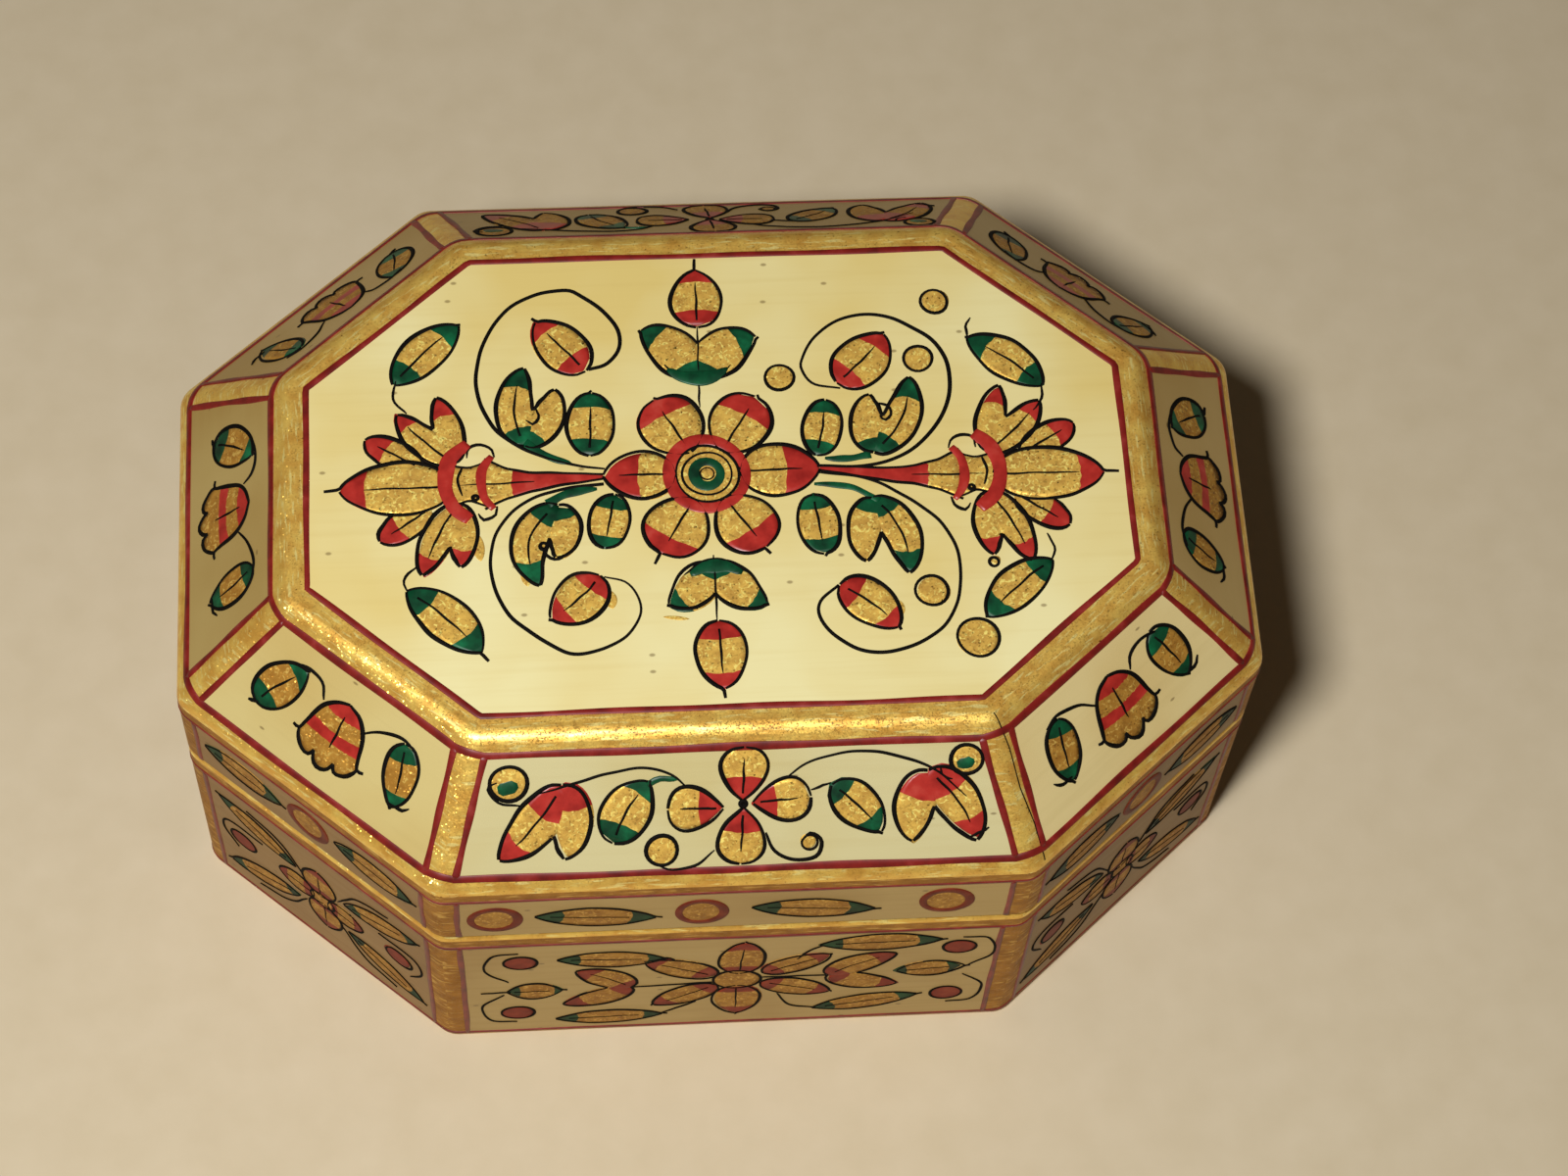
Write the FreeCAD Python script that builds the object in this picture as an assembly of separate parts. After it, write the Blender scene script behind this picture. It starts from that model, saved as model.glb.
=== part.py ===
import FreeCAD, Part
import math
import os

Vector = FreeCAD.Vector

# Driving dimensions in millimetres. X runs along the box, the front faces -Y, and the underside is Z = 0.

# Plan: a rectangle with its four corners cut off
BOX_LENGTH = 128.0
BOX_WIDTH = 92.0
CORNER_CUT_ALONG = 29.5
CORNER_CUT_ACROSS = 25.5
CORNER_ROUND = 3.0

# Heights: the base, the gap under the lid, and the lid's upright skirt and sloping bevel
BASE_HEIGHT = 33.0
PARTING_GAP = 0.25
SKIRT_HEIGHT = 13.35
BEVEL_RISE = 13.4
BEVEL_RUN = 13.5

# Boards and linings
WALL_THICKNESS = 7.0
FLOOR_THICKNESS = 4.0
FLOOR_REBATE = 3.0
LID_BOARD_THICKNESS = 2.8
LID_LEDGE_WIDTH = 2.6
LID_LEDGE_DEPTH = 2.0
LINING_THICKNESS = 0.8
LINING_CLEARANCE = 0.3

# Bone plates, and the wood left showing round them
PLATE_THICKNESS = 1.6
TOP_BORDER = 2.6
BEVEL_TOP_BORDER = 2.3
BEVEL_EAVE_BORDER = 1.8
HIP_BORDER = 1.85
SKIRT_EAVE_BORDER = 2.6
POST_BORDER = 2.3
BASE_RIM_BORDER = 3.2
BASE_FOOT_BORDER = 1.3
STOP_ROUND_BORDER = 0.3

# Edges rounded over or eased
TOP_EDGE_ROUND = 2.4
EAVE_ROUND = 2.2
RIM_ROUND = 1.2
LID_LIP_CHAMFER = 0.4
FOOT_CHAMFER = 0.7

# Butt hinges, placed from the ends of the back wall
HINGE_END_DISTANCE = 15.5
HINGE_LENGTH = 18.0
MIDDLE_KNUCKLE_LENGTH = 6.4
PIN_RADIUS = 0.6
PIN_CLEARANCE = 0.05
PIN_END = 0.4
PIN_END_CHAMFER = 0.2
KNUCKLE_WALL = 0.65
KNUCKLE_GAP = 0.3
BARREL_SETBACK = 0.2
LEAF_THICKNESS = 0.8
LEAF_MARGIN = 0.6
LID_STOP_ANGLE = 106.0

# Hinge nails, driven flush with the leaves
NAIL_SPACING = 10.0
NAIL_RADIUS = 0.65
NAIL_LENGTH = 6.0
NAIL_CLEARANCE = 0.05

# How far cutting shapes run past the wood
OVERRUN = 5.0

# How closely an edge lies at a level to be counted as part of its outline
LEVEL_MATCH = 0.01

# Levels and insets that follow from the sizes above
LID_BOTTOM = BASE_HEIGHT + PARTING_GAP
EAVE_LEVEL = LID_BOTTOM + SKIRT_HEIGHT
TOP_LEVEL = EAVE_LEVEL + BEVEL_RISE
BEVEL_SLOPE = math.hypot(BEVEL_RUN, BEVEL_RISE)
LID_BOARD_TOP = TOP_LEVEL - PLATE_THICKNESS
LID_BOARD_BOTTOM = LID_BOARD_TOP - LID_BOARD_THICKNESS
TOP_OPENING_INSET = BEVEL_RUN + TOP_BORDER
LEDGE_INSET = TOP_OPENING_INSET + LID_LEDGE_WIDTH
LEDGE_BOTTOM = LID_BOARD_BOTTOM - LID_LEDGE_DEPTH
HOLLOW_KNEE = LEDGE_BOTTOM - (LEDGE_INSET - WALL_THICKNESS) * BEVEL_RISE / BEVEL_RUN
MITRE_DEPTH = LEDGE_INSET + OVERRUN

# The hinge barrel lies just inside the back face, level with the parting
KNUCKLE_BORE = PIN_RADIUS + PIN_CLEARANCE
KNUCKLE_RADIUS = KNUCKLE_BORE + KNUCKLE_WALL
BARREL_ROOM = KNUCKLE_RADIUS + KNUCKLE_GAP
PIN_INSET = KNUCKLE_RADIUS + BARREL_SETBACK
PIN_Y = BOX_WIDTH / 2 - PIN_INSET
PIN_Z = BASE_HEIGHT + PARTING_GAP / 2
LEAF_REACH = WALL_THICKNESS - PIN_INSET - LEAF_MARGIN
NAIL_Y = PIN_Y - (LEAF_REACH + BARREL_ROOM) / 2
HINGE_X = BOX_LENGTH / 2 - CORNER_CUT_ALONG - HINGE_END_DISTANCE
HINGE_CENTRES = [-HINGE_X, HINGE_X]

# Equal rounds on both rear edges meet again, and stop the lid, at the stop angle
STOP_RATIO = math.tan(math.radians(360.0 - LID_STOP_ANGLE) / 4)
STOP_ROUND = PIN_INSET * STOP_RATIO / (STOP_RATIO - 1)

SIDE_NAMES = ["front", "front_right", "right", "back_right", "back", "back_left", "left", "front_left"]
BACK = SIDE_NAMES.index("back")


def side_lines():
    """Each side as its outward normal in plan and its distance from the middle, in SIDE_NAMES order."""
    half_length = BOX_LENGTH / 2
    half_width = BOX_WIDTH / 2
    slant = math.hypot(CORNER_CUT_ALONG, CORNER_CUT_ACROSS)
    slant_x = CORNER_CUT_ACROSS / slant
    slant_y = CORNER_CUT_ALONG / slant
    slant_distance = slant_x * half_length + slant_y * (half_width - CORNER_CUT_ACROSS)
    return [
        (0.0, -1.0, half_width),
        (slant_x, -slant_y, slant_distance),
        (1.0, 0.0, half_length),
        (slant_x, slant_y, slant_distance),
        (0.0, 1.0, half_width),
        (-slant_x, slant_y, slant_distance),
        (-1.0, 0.0, half_length),
        (-slant_x, -slant_y, slant_distance),
    ]


def octagon(inset, level):
    """Corners of the plan moved in by inset; side i runs from corner i to the next one."""
    lines = side_lines()
    corners = []
    for i in range(len(lines)):
        ax, ay, a_distance = lines[i - 1]
        bx, by, b_distance = lines[i]
        a = a_distance - inset
        b = b_distance - inset
        cross = ax * by - ay * bx
        corners.append(Vector((a * by - b * ay) / cross, (b * ax - a * bx) / cross, level))
    return corners


def side_ends(side, inset, level):
    corners = octagon(inset, level)
    return corners[side], corners[(side + 1) % len(corners)]


def outward(side):
    normal_x, normal_y, _ = side_lines()[side]
    return Vector(normal_x, normal_y, 0)


def polygon_face(points):
    return Part.Face(Part.makePolygon(points + points[:1]))


def flat_sides(low_points, high_points):
    """Flat four-sided faces between two outlines with as many corners."""
    count = len(low_points)
    faces = []
    for i in range(count):
        j = (i + 1) % count
        faces.append(polygon_face([low_points[i], low_points[j], high_points[j], high_points[i]]))
    return faces


def straight_prism(inset, low, high):
    return polygon_face(octagon(inset, low)).extrude(Vector(0, 0, high - low))


def rounded_edges(inset, level):
    """The plan moved in by inset, with every corner rounded: each corner's arc, then the side after it."""
    corners = octagon(inset, level)
    count = len(corners)
    tangents = []
    for i in range(count):
        to_last = (corners[i - 1] - corners[i]).normalize()
        to_next = (corners[(i + 1) % count] - corners[i]).normalize()
        half_angle = to_last.getAngle(to_next) / 2
        bisector = (to_last + to_next).normalize()
        reach = CORNER_ROUND / math.tan(half_angle)
        middle = corners[i] + bisector * (CORNER_ROUND / math.sin(half_angle) - CORNER_ROUND)
        tangents.append((corners[i] + to_last * reach, middle, corners[i] + to_next * reach))
    edges = []
    for i in range(count):
        start, middle, end = tangents[i]
        next_start = tangents[(i + 1) % count][0]
        edges.append(Part.Arc(start, middle, end).toShape())
        edges.append(Part.LineSegment(end, next_start).toShape())
    return edges


def rounded_prism(low, high):
    return Part.Face(Part.Wire(rounded_edges(0, low))).extrude(Vector(0, 0, high - low))


def slopes():
    """The lid above its eave: flat sloping sides, and hips that carry the corner rounds up to the top face."""
    eave = rounded_edges(0, EAVE_LEVEL)
    top = rounded_edges(BEVEL_RUN, TOP_LEVEL)
    hips = [high - low for low, high in zip(octagon(0, EAVE_LEVEL), octagon(BEVEL_RUN, TOP_LEVEL))]
    faces = [Part.Face(Part.Wire(eave)), Part.Face(Part.Wire(top))]
    faces += [arc.extrude(hip) for arc, hip in zip(eave[::2], hips)]
    for low, high in zip(eave[1::2], top[1::2]):
        low_start, low_end = [vertex.Point for vertex in low.Vertexes]
        high_start, high_end = [vertex.Point for vertex in high.Vertexes]
        faces.append(polygon_face([low_start, low_end, high_end, high_start]))
    return Part.Solid(Part.Shell(faces))


def edges_at(shape, level):
    """The edges of the outline that lies flat at a level."""
    def lies_at_level(edge):
        box = edge.BoundBox
        return max(abs(box.ZMin - level), abs(box.ZMax - level)) < LEVEL_MATCH

    return [edge for edge in shape.Edges if lies_at_level(edge)]


def round_level(shape, level, radius):
    return shape.makeFillet(radius, edges_at(shape, level))


def chamfer_level(shape, level, size):
    return shape.makeChamfer(size, edges_at(shape, level))


def stop_round_cutter(rim, towards):
    """What is taken off a rear edge at the rim; towards is +1 for the lid above it and -1 for the base."""
    centre_y = BOX_WIDTH / 2 - STOP_ROUND
    centre_z = rim + towards * STOP_ROUND
    diagonal = STOP_ROUND / math.sqrt(2)
    low_x = -BOX_LENGTH / 2
    start = Vector(low_x, centre_y, rim)
    middle = Vector(low_x, centre_y + diagonal, centre_z - towards * diagonal)
    end = Vector(low_x, BOX_WIDTH / 2, centre_z)
    corner_points = [
        end,
        Vector(low_x, BOX_WIDTH / 2 + OVERRUN, centre_z),
        Vector(low_x, BOX_WIDTH / 2 + OVERRUN, rim - towards * OVERRUN),
        Vector(low_x, centre_y, rim - towards * OVERRUN),
        start,
    ]
    edges = [Part.Arc(start, middle, end).toShape()]
    edges += Part.makePolygon(corner_points).Edges
    return Part.Face(Part.Wire(edges)).extrude(Vector(BOX_LENGTH, 0, 0))


def base_outside():
    block = rounded_prism(0, BASE_HEIGHT)
    block = round_level(block, BASE_HEIGHT, RIM_ROUND)
    block = chamfer_level(block, 0, FOOT_CHAMFER)
    return block.cut(stop_round_cutter(BASE_HEIGHT, -1))


def lid_outside():
    block = rounded_prism(LID_BOTTOM, EAVE_LEVEL).fuse(slopes())
    block = round_level(block, TOP_LEVEL, TOP_EDGE_ROUND)
    block = round_level(block, EAVE_LEVEL, EAVE_ROUND)
    block = chamfer_level(block, LID_BOTTOM, LID_LIP_CHAMFER)
    return block.cut(stop_round_cutter(LID_BOTTOM, 1))


def lid_hollow():
    """Everything open or filled by other pieces inside the lid's rails."""
    knee = octagon(WALL_THICKNESS, HOLLOW_KNEE)
    ledge = octagon(LEDGE_INSET, LEDGE_BOTTOM)
    slope = flat_sides(knee, ledge) + [polygon_face(knee), polygon_face(ledge)]
    upper = [
        Part.Solid(Part.Shell(slope)),
        straight_prism(LEDGE_INSET, LEDGE_BOTTOM, LID_BOARD_BOTTOM),
        straight_prism(TOP_OPENING_INSET, LID_BOARD_BOTTOM, TOP_LEVEL + OVERRUN),
    ]
    return straight_prism(WALL_THICKNESS, LID_BOTTOM - OVERRUN, HOLLOW_KNEE).fuse(upper)


def base_hollow():
    """Everything open or filled by the floor board inside the base's walls."""
    cavity = straight_prism(WALL_THICKNESS, FLOOR_THICKNESS, BASE_HEIGHT + OVERRUN)
    return cavity.fuse(straight_prism(WALL_THICKNESS - FLOOR_REBATE, -OVERRUN, FLOOR_THICKNESS))


def mitre_wedge(side):
    """The space between the two mitre planes at the ends of a side."""
    outer_start, outer_end = side_ends(side, -OVERRUN, -OVERRUN)
    inner_start, inner_end = side_ends(side, MITRE_DEPTH, -OVERRUN)
    face = polygon_face([outer_start, outer_end, inner_end, inner_start])
    return face.extrude(Vector(0, 0, TOP_LEVEL + 2 * OVERRUN))


def let_in(outline, normal):
    """A block from outside a face to the plate's depth below it, over an outline drawn on the face."""
    raised = [point + normal * OVERRUN for point in outline]
    return polygon_face(raised).extrude(normal * -(OVERRUN + PLATE_THICKNESS))


def upright_block(side, low, high):
    """Where an upright face takes its plate, between the two corner posts."""
    start, end = side_ends(side, 0, low)
    along = (end - start).normalize()
    left = start + along * POST_BORDER
    right = end - along * POST_BORDER
    rise = Vector(0, 0, high - low)
    return let_in([left, right, right + rise, left + rise], outward(side))


def base_block(side):
    return upright_block(side, BASE_FOOT_BORDER, BASE_HEIGHT - BASE_RIM_BORDER)


def skirt_block(side):
    """Skirt plates reach the lid's lower edge, except above the round that stops the lid."""
    low = LID_BOTTOM + STOP_ROUND + STOP_ROUND_BORDER if side == BACK else LID_BOTTOM - OVERRUN
    return upright_block(side, low, EAVE_LEVEL - SKIRT_EAVE_BORDER)


def bevel_block(side):
    """Where a sloping face takes its plate, between the eave, the hips and the top edge."""
    eave_start, eave_end = side_ends(side, 0, EAVE_LEVEL)
    top_start, top_end = side_ends(side, BEVEL_RUN, TOP_LEVEL)
    along = (eave_end - eave_start).normalize()
    up = (Vector(0, 0, BEVEL_RISE) - outward(side) * BEVEL_RUN).normalize()
    normal = along.cross(up)
    start_lean = (top_start - eave_start).dot(along) / BEVEL_SLOPE
    end_lean = (eave_end - top_end).dot(along) / BEVEL_SLOPE

    def ends_at(height):
        left = eave_start + along * (HIP_BORDER * math.hypot(1, start_lean) + start_lean * height)
        right = eave_end - along * (HIP_BORDER * math.hypot(1, end_lean) + end_lean * height)
        return left + up * height, right + up * height

    low_left, low_right = ends_at(BEVEL_EAVE_BORDER)
    high_left, high_right = ends_at(BEVEL_SLOPE - BEVEL_TOP_BORDER)
    return let_in([low_left, low_right, high_right, high_left], normal)


def barrel(low, high, radius):
    """A cylinder on the hinge axis."""
    return Part.makeCylinder(radius, high - low, Vector(low, PIN_Y, PIN_Z), Vector(1, 0, 0))


def nails(hinge_x, rim, inward, clearance):
    """Both nails of one leaf, or their holes; inward is +1 into the lid above and -1 into the base."""
    placed = []
    for x in (hinge_x - NAIL_SPACING / 2, hinge_x + NAIL_SPACING / 2):
        head = Vector(x, NAIL_Y, rim)
        length = NAIL_LENGTH + clearance
        placed.append(Part.makeCylinder(NAIL_RADIUS + clearance, length, head, Vector(0, 0, inward)))
    return placed


def leaf_plate(hinge_x, low):
    corner = Vector(hinge_x - HINGE_LENGTH / 2, PIN_Y - LEAF_REACH, low)
    return Part.makeBox(HINGE_LENGTH, LEAF_REACH, LEAF_THICKNESS, corner)


def knuckle_spans(hinge_x):
    """The middle knuckle's span, then the spans of the outer two."""
    half = HINGE_LENGTH / 2
    middle = MIDDLE_KNUCKLE_LENGTH / 2
    outer = middle + KNUCKLE_GAP
    return (hinge_x - middle, hinge_x + middle), [(hinge_x - half, hinge_x - outer), (hinge_x + outer, hinge_x + half)]


def base_leaf(hinge_x):
    """Leaf let into the back wall's rim, with the outer two knuckles."""
    (low, high), outer_spans = knuckle_spans(hinge_x)
    leaf = leaf_plate(hinge_x, BASE_HEIGHT - LEAF_THICKNESS)
    leaf = leaf.cut(barrel(low - KNUCKLE_GAP, high + KNUCKLE_GAP, BARREL_ROOM))
    leaf = leaf.fuse([barrel(start, end, KNUCKLE_RADIUS) for start, end in outer_spans])
    leaf = leaf.cut(barrel(hinge_x - HINGE_LENGTH, hinge_x + HINGE_LENGTH, KNUCKLE_BORE))
    return leaf.cut(nails(hinge_x, BASE_HEIGHT, -1, NAIL_CLEARANCE))


def lid_leaf(hinge_x):
    """Leaf let into the back rail's underside, with the middle knuckle."""
    (low, high), _ = knuckle_spans(hinge_x)
    leaf = leaf_plate(hinge_x, LID_BOTTOM)
    leaf = leaf.cut(
        [
            barrel(low - HINGE_LENGTH, low, BARREL_ROOM),
            barrel(high, high + HINGE_LENGTH, BARREL_ROOM),
        ]
    )
    leaf = leaf.fuse(barrel(low, high, KNUCKLE_RADIUS))
    leaf = leaf.cut(barrel(hinge_x - HINGE_LENGTH, hinge_x + HINGE_LENGTH, KNUCKLE_BORE))
    return leaf.cut(nails(hinge_x, LID_BOTTOM, 1, NAIL_CLEARANCE))


def hinge_pin(hinge_x):
    reach = HINGE_LENGTH / 2 + PIN_END
    pin = barrel(hinge_x - reach, hinge_x + reach, PIN_RADIUS)
    ends = [edge for edge in pin.Edges if edge.BoundBox.XLength < PIN_END]
    return pin.makeChamfer(PIN_END_CHAMFER, ends)


def barrel_notch(hinge_x):
    """The square notch in the rear edges that a barrel lies in."""
    reach = HINGE_LENGTH / 2 + PIN_END + KNUCKLE_GAP
    corner = Vector(hinge_x - reach, PIN_Y - BARREL_ROOM, PIN_Z - BARREL_ROOM)
    return Part.makeBox(2 * reach, BARREL_ROOM + PIN_INSET + OVERRUN, 2 * BARREL_ROOM, corner)


def hinge_room(rim, leaf_low, inward):
    """Mortises for the leaves, notches for the barrels, and the nail holes, in the base or the lid."""
    room = []
    for x in HINGE_CENTRES:
        room.append(leaf_plate(x, leaf_low))
        room.append(barrel_notch(x))
        room += nails(x, rim, inward, NAIL_CLEARANCE)
    return room


def write(node, shape):
    shape.exportStep(os.path.join("parts", node + ".step"))


def write_sides(stem, shapes):
    for name, shape in zip(SIDE_NAMES, shapes):
        write(stem + "_" + name, shape.Solids[0])


def build_base():
    outside = base_outside()
    blocks = [base_block(side) for side in range(len(SIDE_NAMES))]
    wood = outside.cut([base_hollow()] + blocks + hinge_room(BASE_HEIGHT, BASE_HEIGHT - LEAF_THICKNESS, -1))
    write_sides("base_wall", [wood.common(mitre_wedge(side)) for side in range(len(SIDE_NAMES))])
    write_sides("base_plate", [outside.common(block) for block in blocks])
    write("base_floor", straight_prism(WALL_THICKNESS - FLOOR_REBATE, 0, FLOOR_THICKNESS))
    lining_top = FLOOR_THICKNESS + LINING_THICKNESS
    write("floor_lining", straight_prism(WALL_THICKNESS + LINING_CLEARANCE, FLOOR_THICKNESS, lining_top))


def build_lid():
    outside = lid_outside()
    bevels = [bevel_block(side) for side in range(len(SIDE_NAMES))]
    skirts = [skirt_block(side) for side in range(len(SIDE_NAMES))]
    wood = outside.cut([lid_hollow()] + bevels + skirts + hinge_room(LID_BOTTOM, LID_BOTTOM, 1))
    write_sides("lid_rail", [wood.common(mitre_wedge(side)) for side in range(len(SIDE_NAMES))])
    write_sides("bevel_plate", [outside.common(block) for block in bevels])
    write_sides("skirt_plate", [outside.common(block) for block in skirts])
    write("top_plate", straight_prism(TOP_OPENING_INSET, LID_BOARD_TOP, TOP_LEVEL))
    write("lid_board", straight_prism(TOP_OPENING_INSET, LID_BOARD_BOTTOM, LID_BOARD_TOP))
    lining_bottom = LID_BOARD_BOTTOM - LINING_THICKNESS
    write("lid_lining", straight_prism(LEDGE_INSET + LINING_CLEARANCE, lining_bottom, LID_BOARD_BOTTOM))


def build_hinges():
    base_nails = []
    lid_nails = []
    for name, x in zip(("left", "right"), HINGE_CENTRES):
        write("hinge_base_leaf_" + name, base_leaf(x))
        write("hinge_lid_leaf_" + name, lid_leaf(x))
        base_nails += nails(x, BASE_HEIGHT, -1, 0)
        lid_nails += nails(x, LID_BOTTOM, 1, 0)
    write("hinge_pins", Part.makeCompound([hinge_pin(x) for x in HINGE_CENTRES]))
    write("hinge_base_nails", Part.makeCompound(base_nails))
    write("hinge_lid_nails", Part.makeCompound(lid_nails))


os.makedirs("parts", exist_ok=True)
build_base()
build_lid()
build_hinges()
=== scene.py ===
"""Dresses the inlaid wooden box: bone plates, gilded wood, painted flowers, velvet linings and brass hinges."""
import logging
import math
from dataclasses import dataclass, field, replace
from enum import Enum
from typing import Callable, Sequence

import bpy
import numpy as np
from mathutils import Matrix, Vector
from mathutils.bvhtree import BVHTree


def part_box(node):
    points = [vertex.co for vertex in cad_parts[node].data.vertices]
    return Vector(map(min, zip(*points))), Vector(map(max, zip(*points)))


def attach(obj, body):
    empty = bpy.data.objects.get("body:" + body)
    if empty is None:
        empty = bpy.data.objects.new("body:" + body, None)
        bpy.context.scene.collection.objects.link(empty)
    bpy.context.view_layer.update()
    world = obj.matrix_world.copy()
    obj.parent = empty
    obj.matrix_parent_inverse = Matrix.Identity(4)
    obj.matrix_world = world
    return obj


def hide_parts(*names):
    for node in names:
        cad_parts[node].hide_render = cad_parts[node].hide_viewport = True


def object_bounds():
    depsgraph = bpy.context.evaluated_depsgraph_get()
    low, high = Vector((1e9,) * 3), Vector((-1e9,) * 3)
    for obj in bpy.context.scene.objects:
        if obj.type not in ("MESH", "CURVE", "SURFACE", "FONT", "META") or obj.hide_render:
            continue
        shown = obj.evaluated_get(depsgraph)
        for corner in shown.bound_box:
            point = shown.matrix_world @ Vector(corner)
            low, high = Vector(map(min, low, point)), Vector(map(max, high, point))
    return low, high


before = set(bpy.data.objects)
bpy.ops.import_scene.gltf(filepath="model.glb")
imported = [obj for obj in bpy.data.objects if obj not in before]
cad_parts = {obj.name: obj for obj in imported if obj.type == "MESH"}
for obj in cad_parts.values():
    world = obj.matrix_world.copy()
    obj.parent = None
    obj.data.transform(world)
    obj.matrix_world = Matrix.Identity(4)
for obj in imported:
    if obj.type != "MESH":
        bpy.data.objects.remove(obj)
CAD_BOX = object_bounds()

log = logging.getLogger("inlaid_box")

Array = np.ndarray
Point = tuple[float, float]
Place = tuple[float, float, float]
Face = tuple[int, ...]
Material = bpy.types.Material
Socket = bpy.types.NodeSocket

MM = 0.001
SIDES = ("front", "front_right", "right", "back_right", "back", "back_left", "left", "front_left")
LONG_SIDES = ("front", "back")
# Sides whose designs are drawn the other way round
TURNED_SIDES = ("front_right", "right", "back_right", "back")
BASE = "base"
LID = "lid"

# Brushwork in millimetres: sample spacing, how deep strokes start below the surface, and how high they stand
STEP = 0.5
SINK = 0.04
FILL_CROWN = 0.08
INK_CROWN = 0.14
BAND_CROWN = 0.11
LINE_CROWN = 0.10
# A stroke's edges stand at this share of its crown, and strokes wider than BROAD dry flat, with rounded edges only
EDGE_SHARE = 0.65
BROAD = 0.85
# A stroke's edge: places across it, where minus one is its side, and their heights as shares of the edge's own
THIN_EDGE = ((-0.92, 1.0),)
BROAD_EDGE = ((-0.97, 0.8), (-0.8, 1.4))
# Samples to each span of a smooth line
SPAN_SAMPLES = 16
# Any phase of a wave, in radians
ANY_PHASE = 6.28
# Mirrors a shape to its left and to its right
BOTH_WAYS = (-1.0, 1.0)


def linear(code: str) -> tuple[float, float, float, float]:
    """Turns an sRGB hex colour to linear light.

    Args:
        code: A colour such as "#C9A24A".

    Returns:
        Red, green, blue and an alpha of one.
    """
    parts = [int(code[i:i + 2], 16) / 255.0 for i in (1, 3, 5)]
    parts = [c / 12.92 if c <= 0.04045 else ((c + 0.055) / 1.055) ** 2.4 for c in parts]
    return (parts[0], parts[1], parts[2], 1.0)


def unit(vectors: Array) -> Array:
    """Scales each row, or one vector, to length one."""
    return vectors / np.maximum(np.linalg.norm(vectors, axis=-1, keepdims=True), 1e-12)


def leftward(along: Array) -> Array:
    """Turns each flat direction a quarter to the left."""
    return np.stack([-along[:, 1], along[:, 0]], axis=1)


def spaced(line: Array, step: float) -> Array:
    """Spaces the samples of a line evenly.

    Args:
        line: Points along the line, one per row.
        step: About how far apart the samples lie.

    Returns:
        The samples, both ends included.
    """
    reach = np.concatenate([[0.0], np.cumsum(np.linalg.norm(np.diff(line, axis=0), axis=1))])
    places = np.linspace(0.0, reach[-1], max(4, int(round(reach[-1] / step)) + 1))
    return np.stack([np.interp(places, reach, column) for column in line.T], axis=1)


def smooth(points: Sequence[Sequence[float]], step: float = STEP) -> Array:
    """Runs a smooth line through points.

    Args:
        points: Where the brush passes.
        step: About how far apart the samples lie.

    Returns:
        Evenly spaced samples of the line.
    """
    given = np.asarray(points, float)
    if len(given) == 2:
        return spaced(given, step)
    ends_kept = np.vstack([2 * given[0] - given[1], given, 2 * given[-1] - given[-2]])
    t = np.linspace(0.0, 1.0, SPAN_SAMPLES, endpoint=False)[:, None]
    runs = []
    for a, b, c, d in zip(ends_kept, ends_kept[1:], ends_kept[2:], ends_kept[3:]):
        bow = (2 * a - 5 * b + 4 * c - d) * t**2 + (3 * b - a - 3 * c + d) * t**3
        runs.append(0.5 * (2 * b + (c - a) * t + bow))
    return spaced(np.vstack(runs + [given[-1:]]), step)


def outside(line: Array, loop: Array) -> Array:
    """Keeps the longest run of a line that lies outside a closed shape.

    Args:
        line: Points along the line.
        loop: Points round the shape.

    Returns:
        The points of that run, in order.
    """
    inside = np.zeros(len(line), bool)
    for (x0, y0), (x1, y1) in zip(loop, np.roll(loop, -1, axis=0)):
        spans = (y0 > line[:, 1]) != (y1 > line[:, 1])
        rise = y1 - y0 if y1 != y0 else 1.0
        inside ^= spans & (line[:, 0] < x0 + (line[:, 1] - y0) * (x1 - x0) / rise)
    runs = np.split(np.arange(len(line)), np.nonzero(inside)[0])
    return line[max((run[~inside[run]] for run in runs), key=len)]


def plan_corners(node: str) -> Array:
    """Finds the corners of a flat CAD node in plan, in order round it, in metres."""
    flat = {(round(v.co[0], 6), round(v.co[1], 6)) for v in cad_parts[node].data.vertices}
    return np.array(sorted(flat, key=lambda corner: math.atan2(corner[1], corner[0])))


def cover(node: str, *materials: Material) -> bpy.types.Mesh:
    """Gives a CAD node its materials.

    Args:
        node: The node's name.
        materials: The materials, in the order of its slots.

    Returns:
        The node's mesh.
    """
    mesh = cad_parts[node].data
    mesh.materials.clear()
    for material in materials:
        mesh.materials.append(material)
    return mesh


def link(name: str, data: bpy.types.ID) -> bpy.types.Object:
    """Puts data in the scene as an object of that name."""
    thing = bpy.data.objects.new(name, data)
    bpy.context.scene.collection.objects.link(thing)
    return thing


def make_piece(name: str, body: str, points: list, faces: Sequence[Face], materials: Sequence[Material],
               marks: Sequence[int] | None = None) -> bpy.types.Object:
    """Makes a smooth-shaded piece and sets it on its body.

    Args:
        name: The piece's name.
        body: The body that it rides on.
        points: Its points in metres.
        faces: Its faces.
        materials: Its materials.
        marks: Each face's material, where it has several.

    Returns:
        The piece.
    """
    mesh = bpy.data.meshes.new(name)
    mesh.from_pydata(points, [], faces)
    for material in materials:
        mesh.materials.append(material)
    if marks is not None:
        mesh.polygons.foreach_set("material_index", marks)
    mesh.polygons.foreach_set("use_smooth", [True] * len(faces))
    mesh.update()
    piece = link(name, mesh)
    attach(piece, body)
    return piece


class Paint(Enum):
    """The paints on the plates, by material slot of a brushwork mesh."""

    GOLD = 0
    RED = 1
    GREEN = 2
    INK = 3
    LINE = 4


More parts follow.
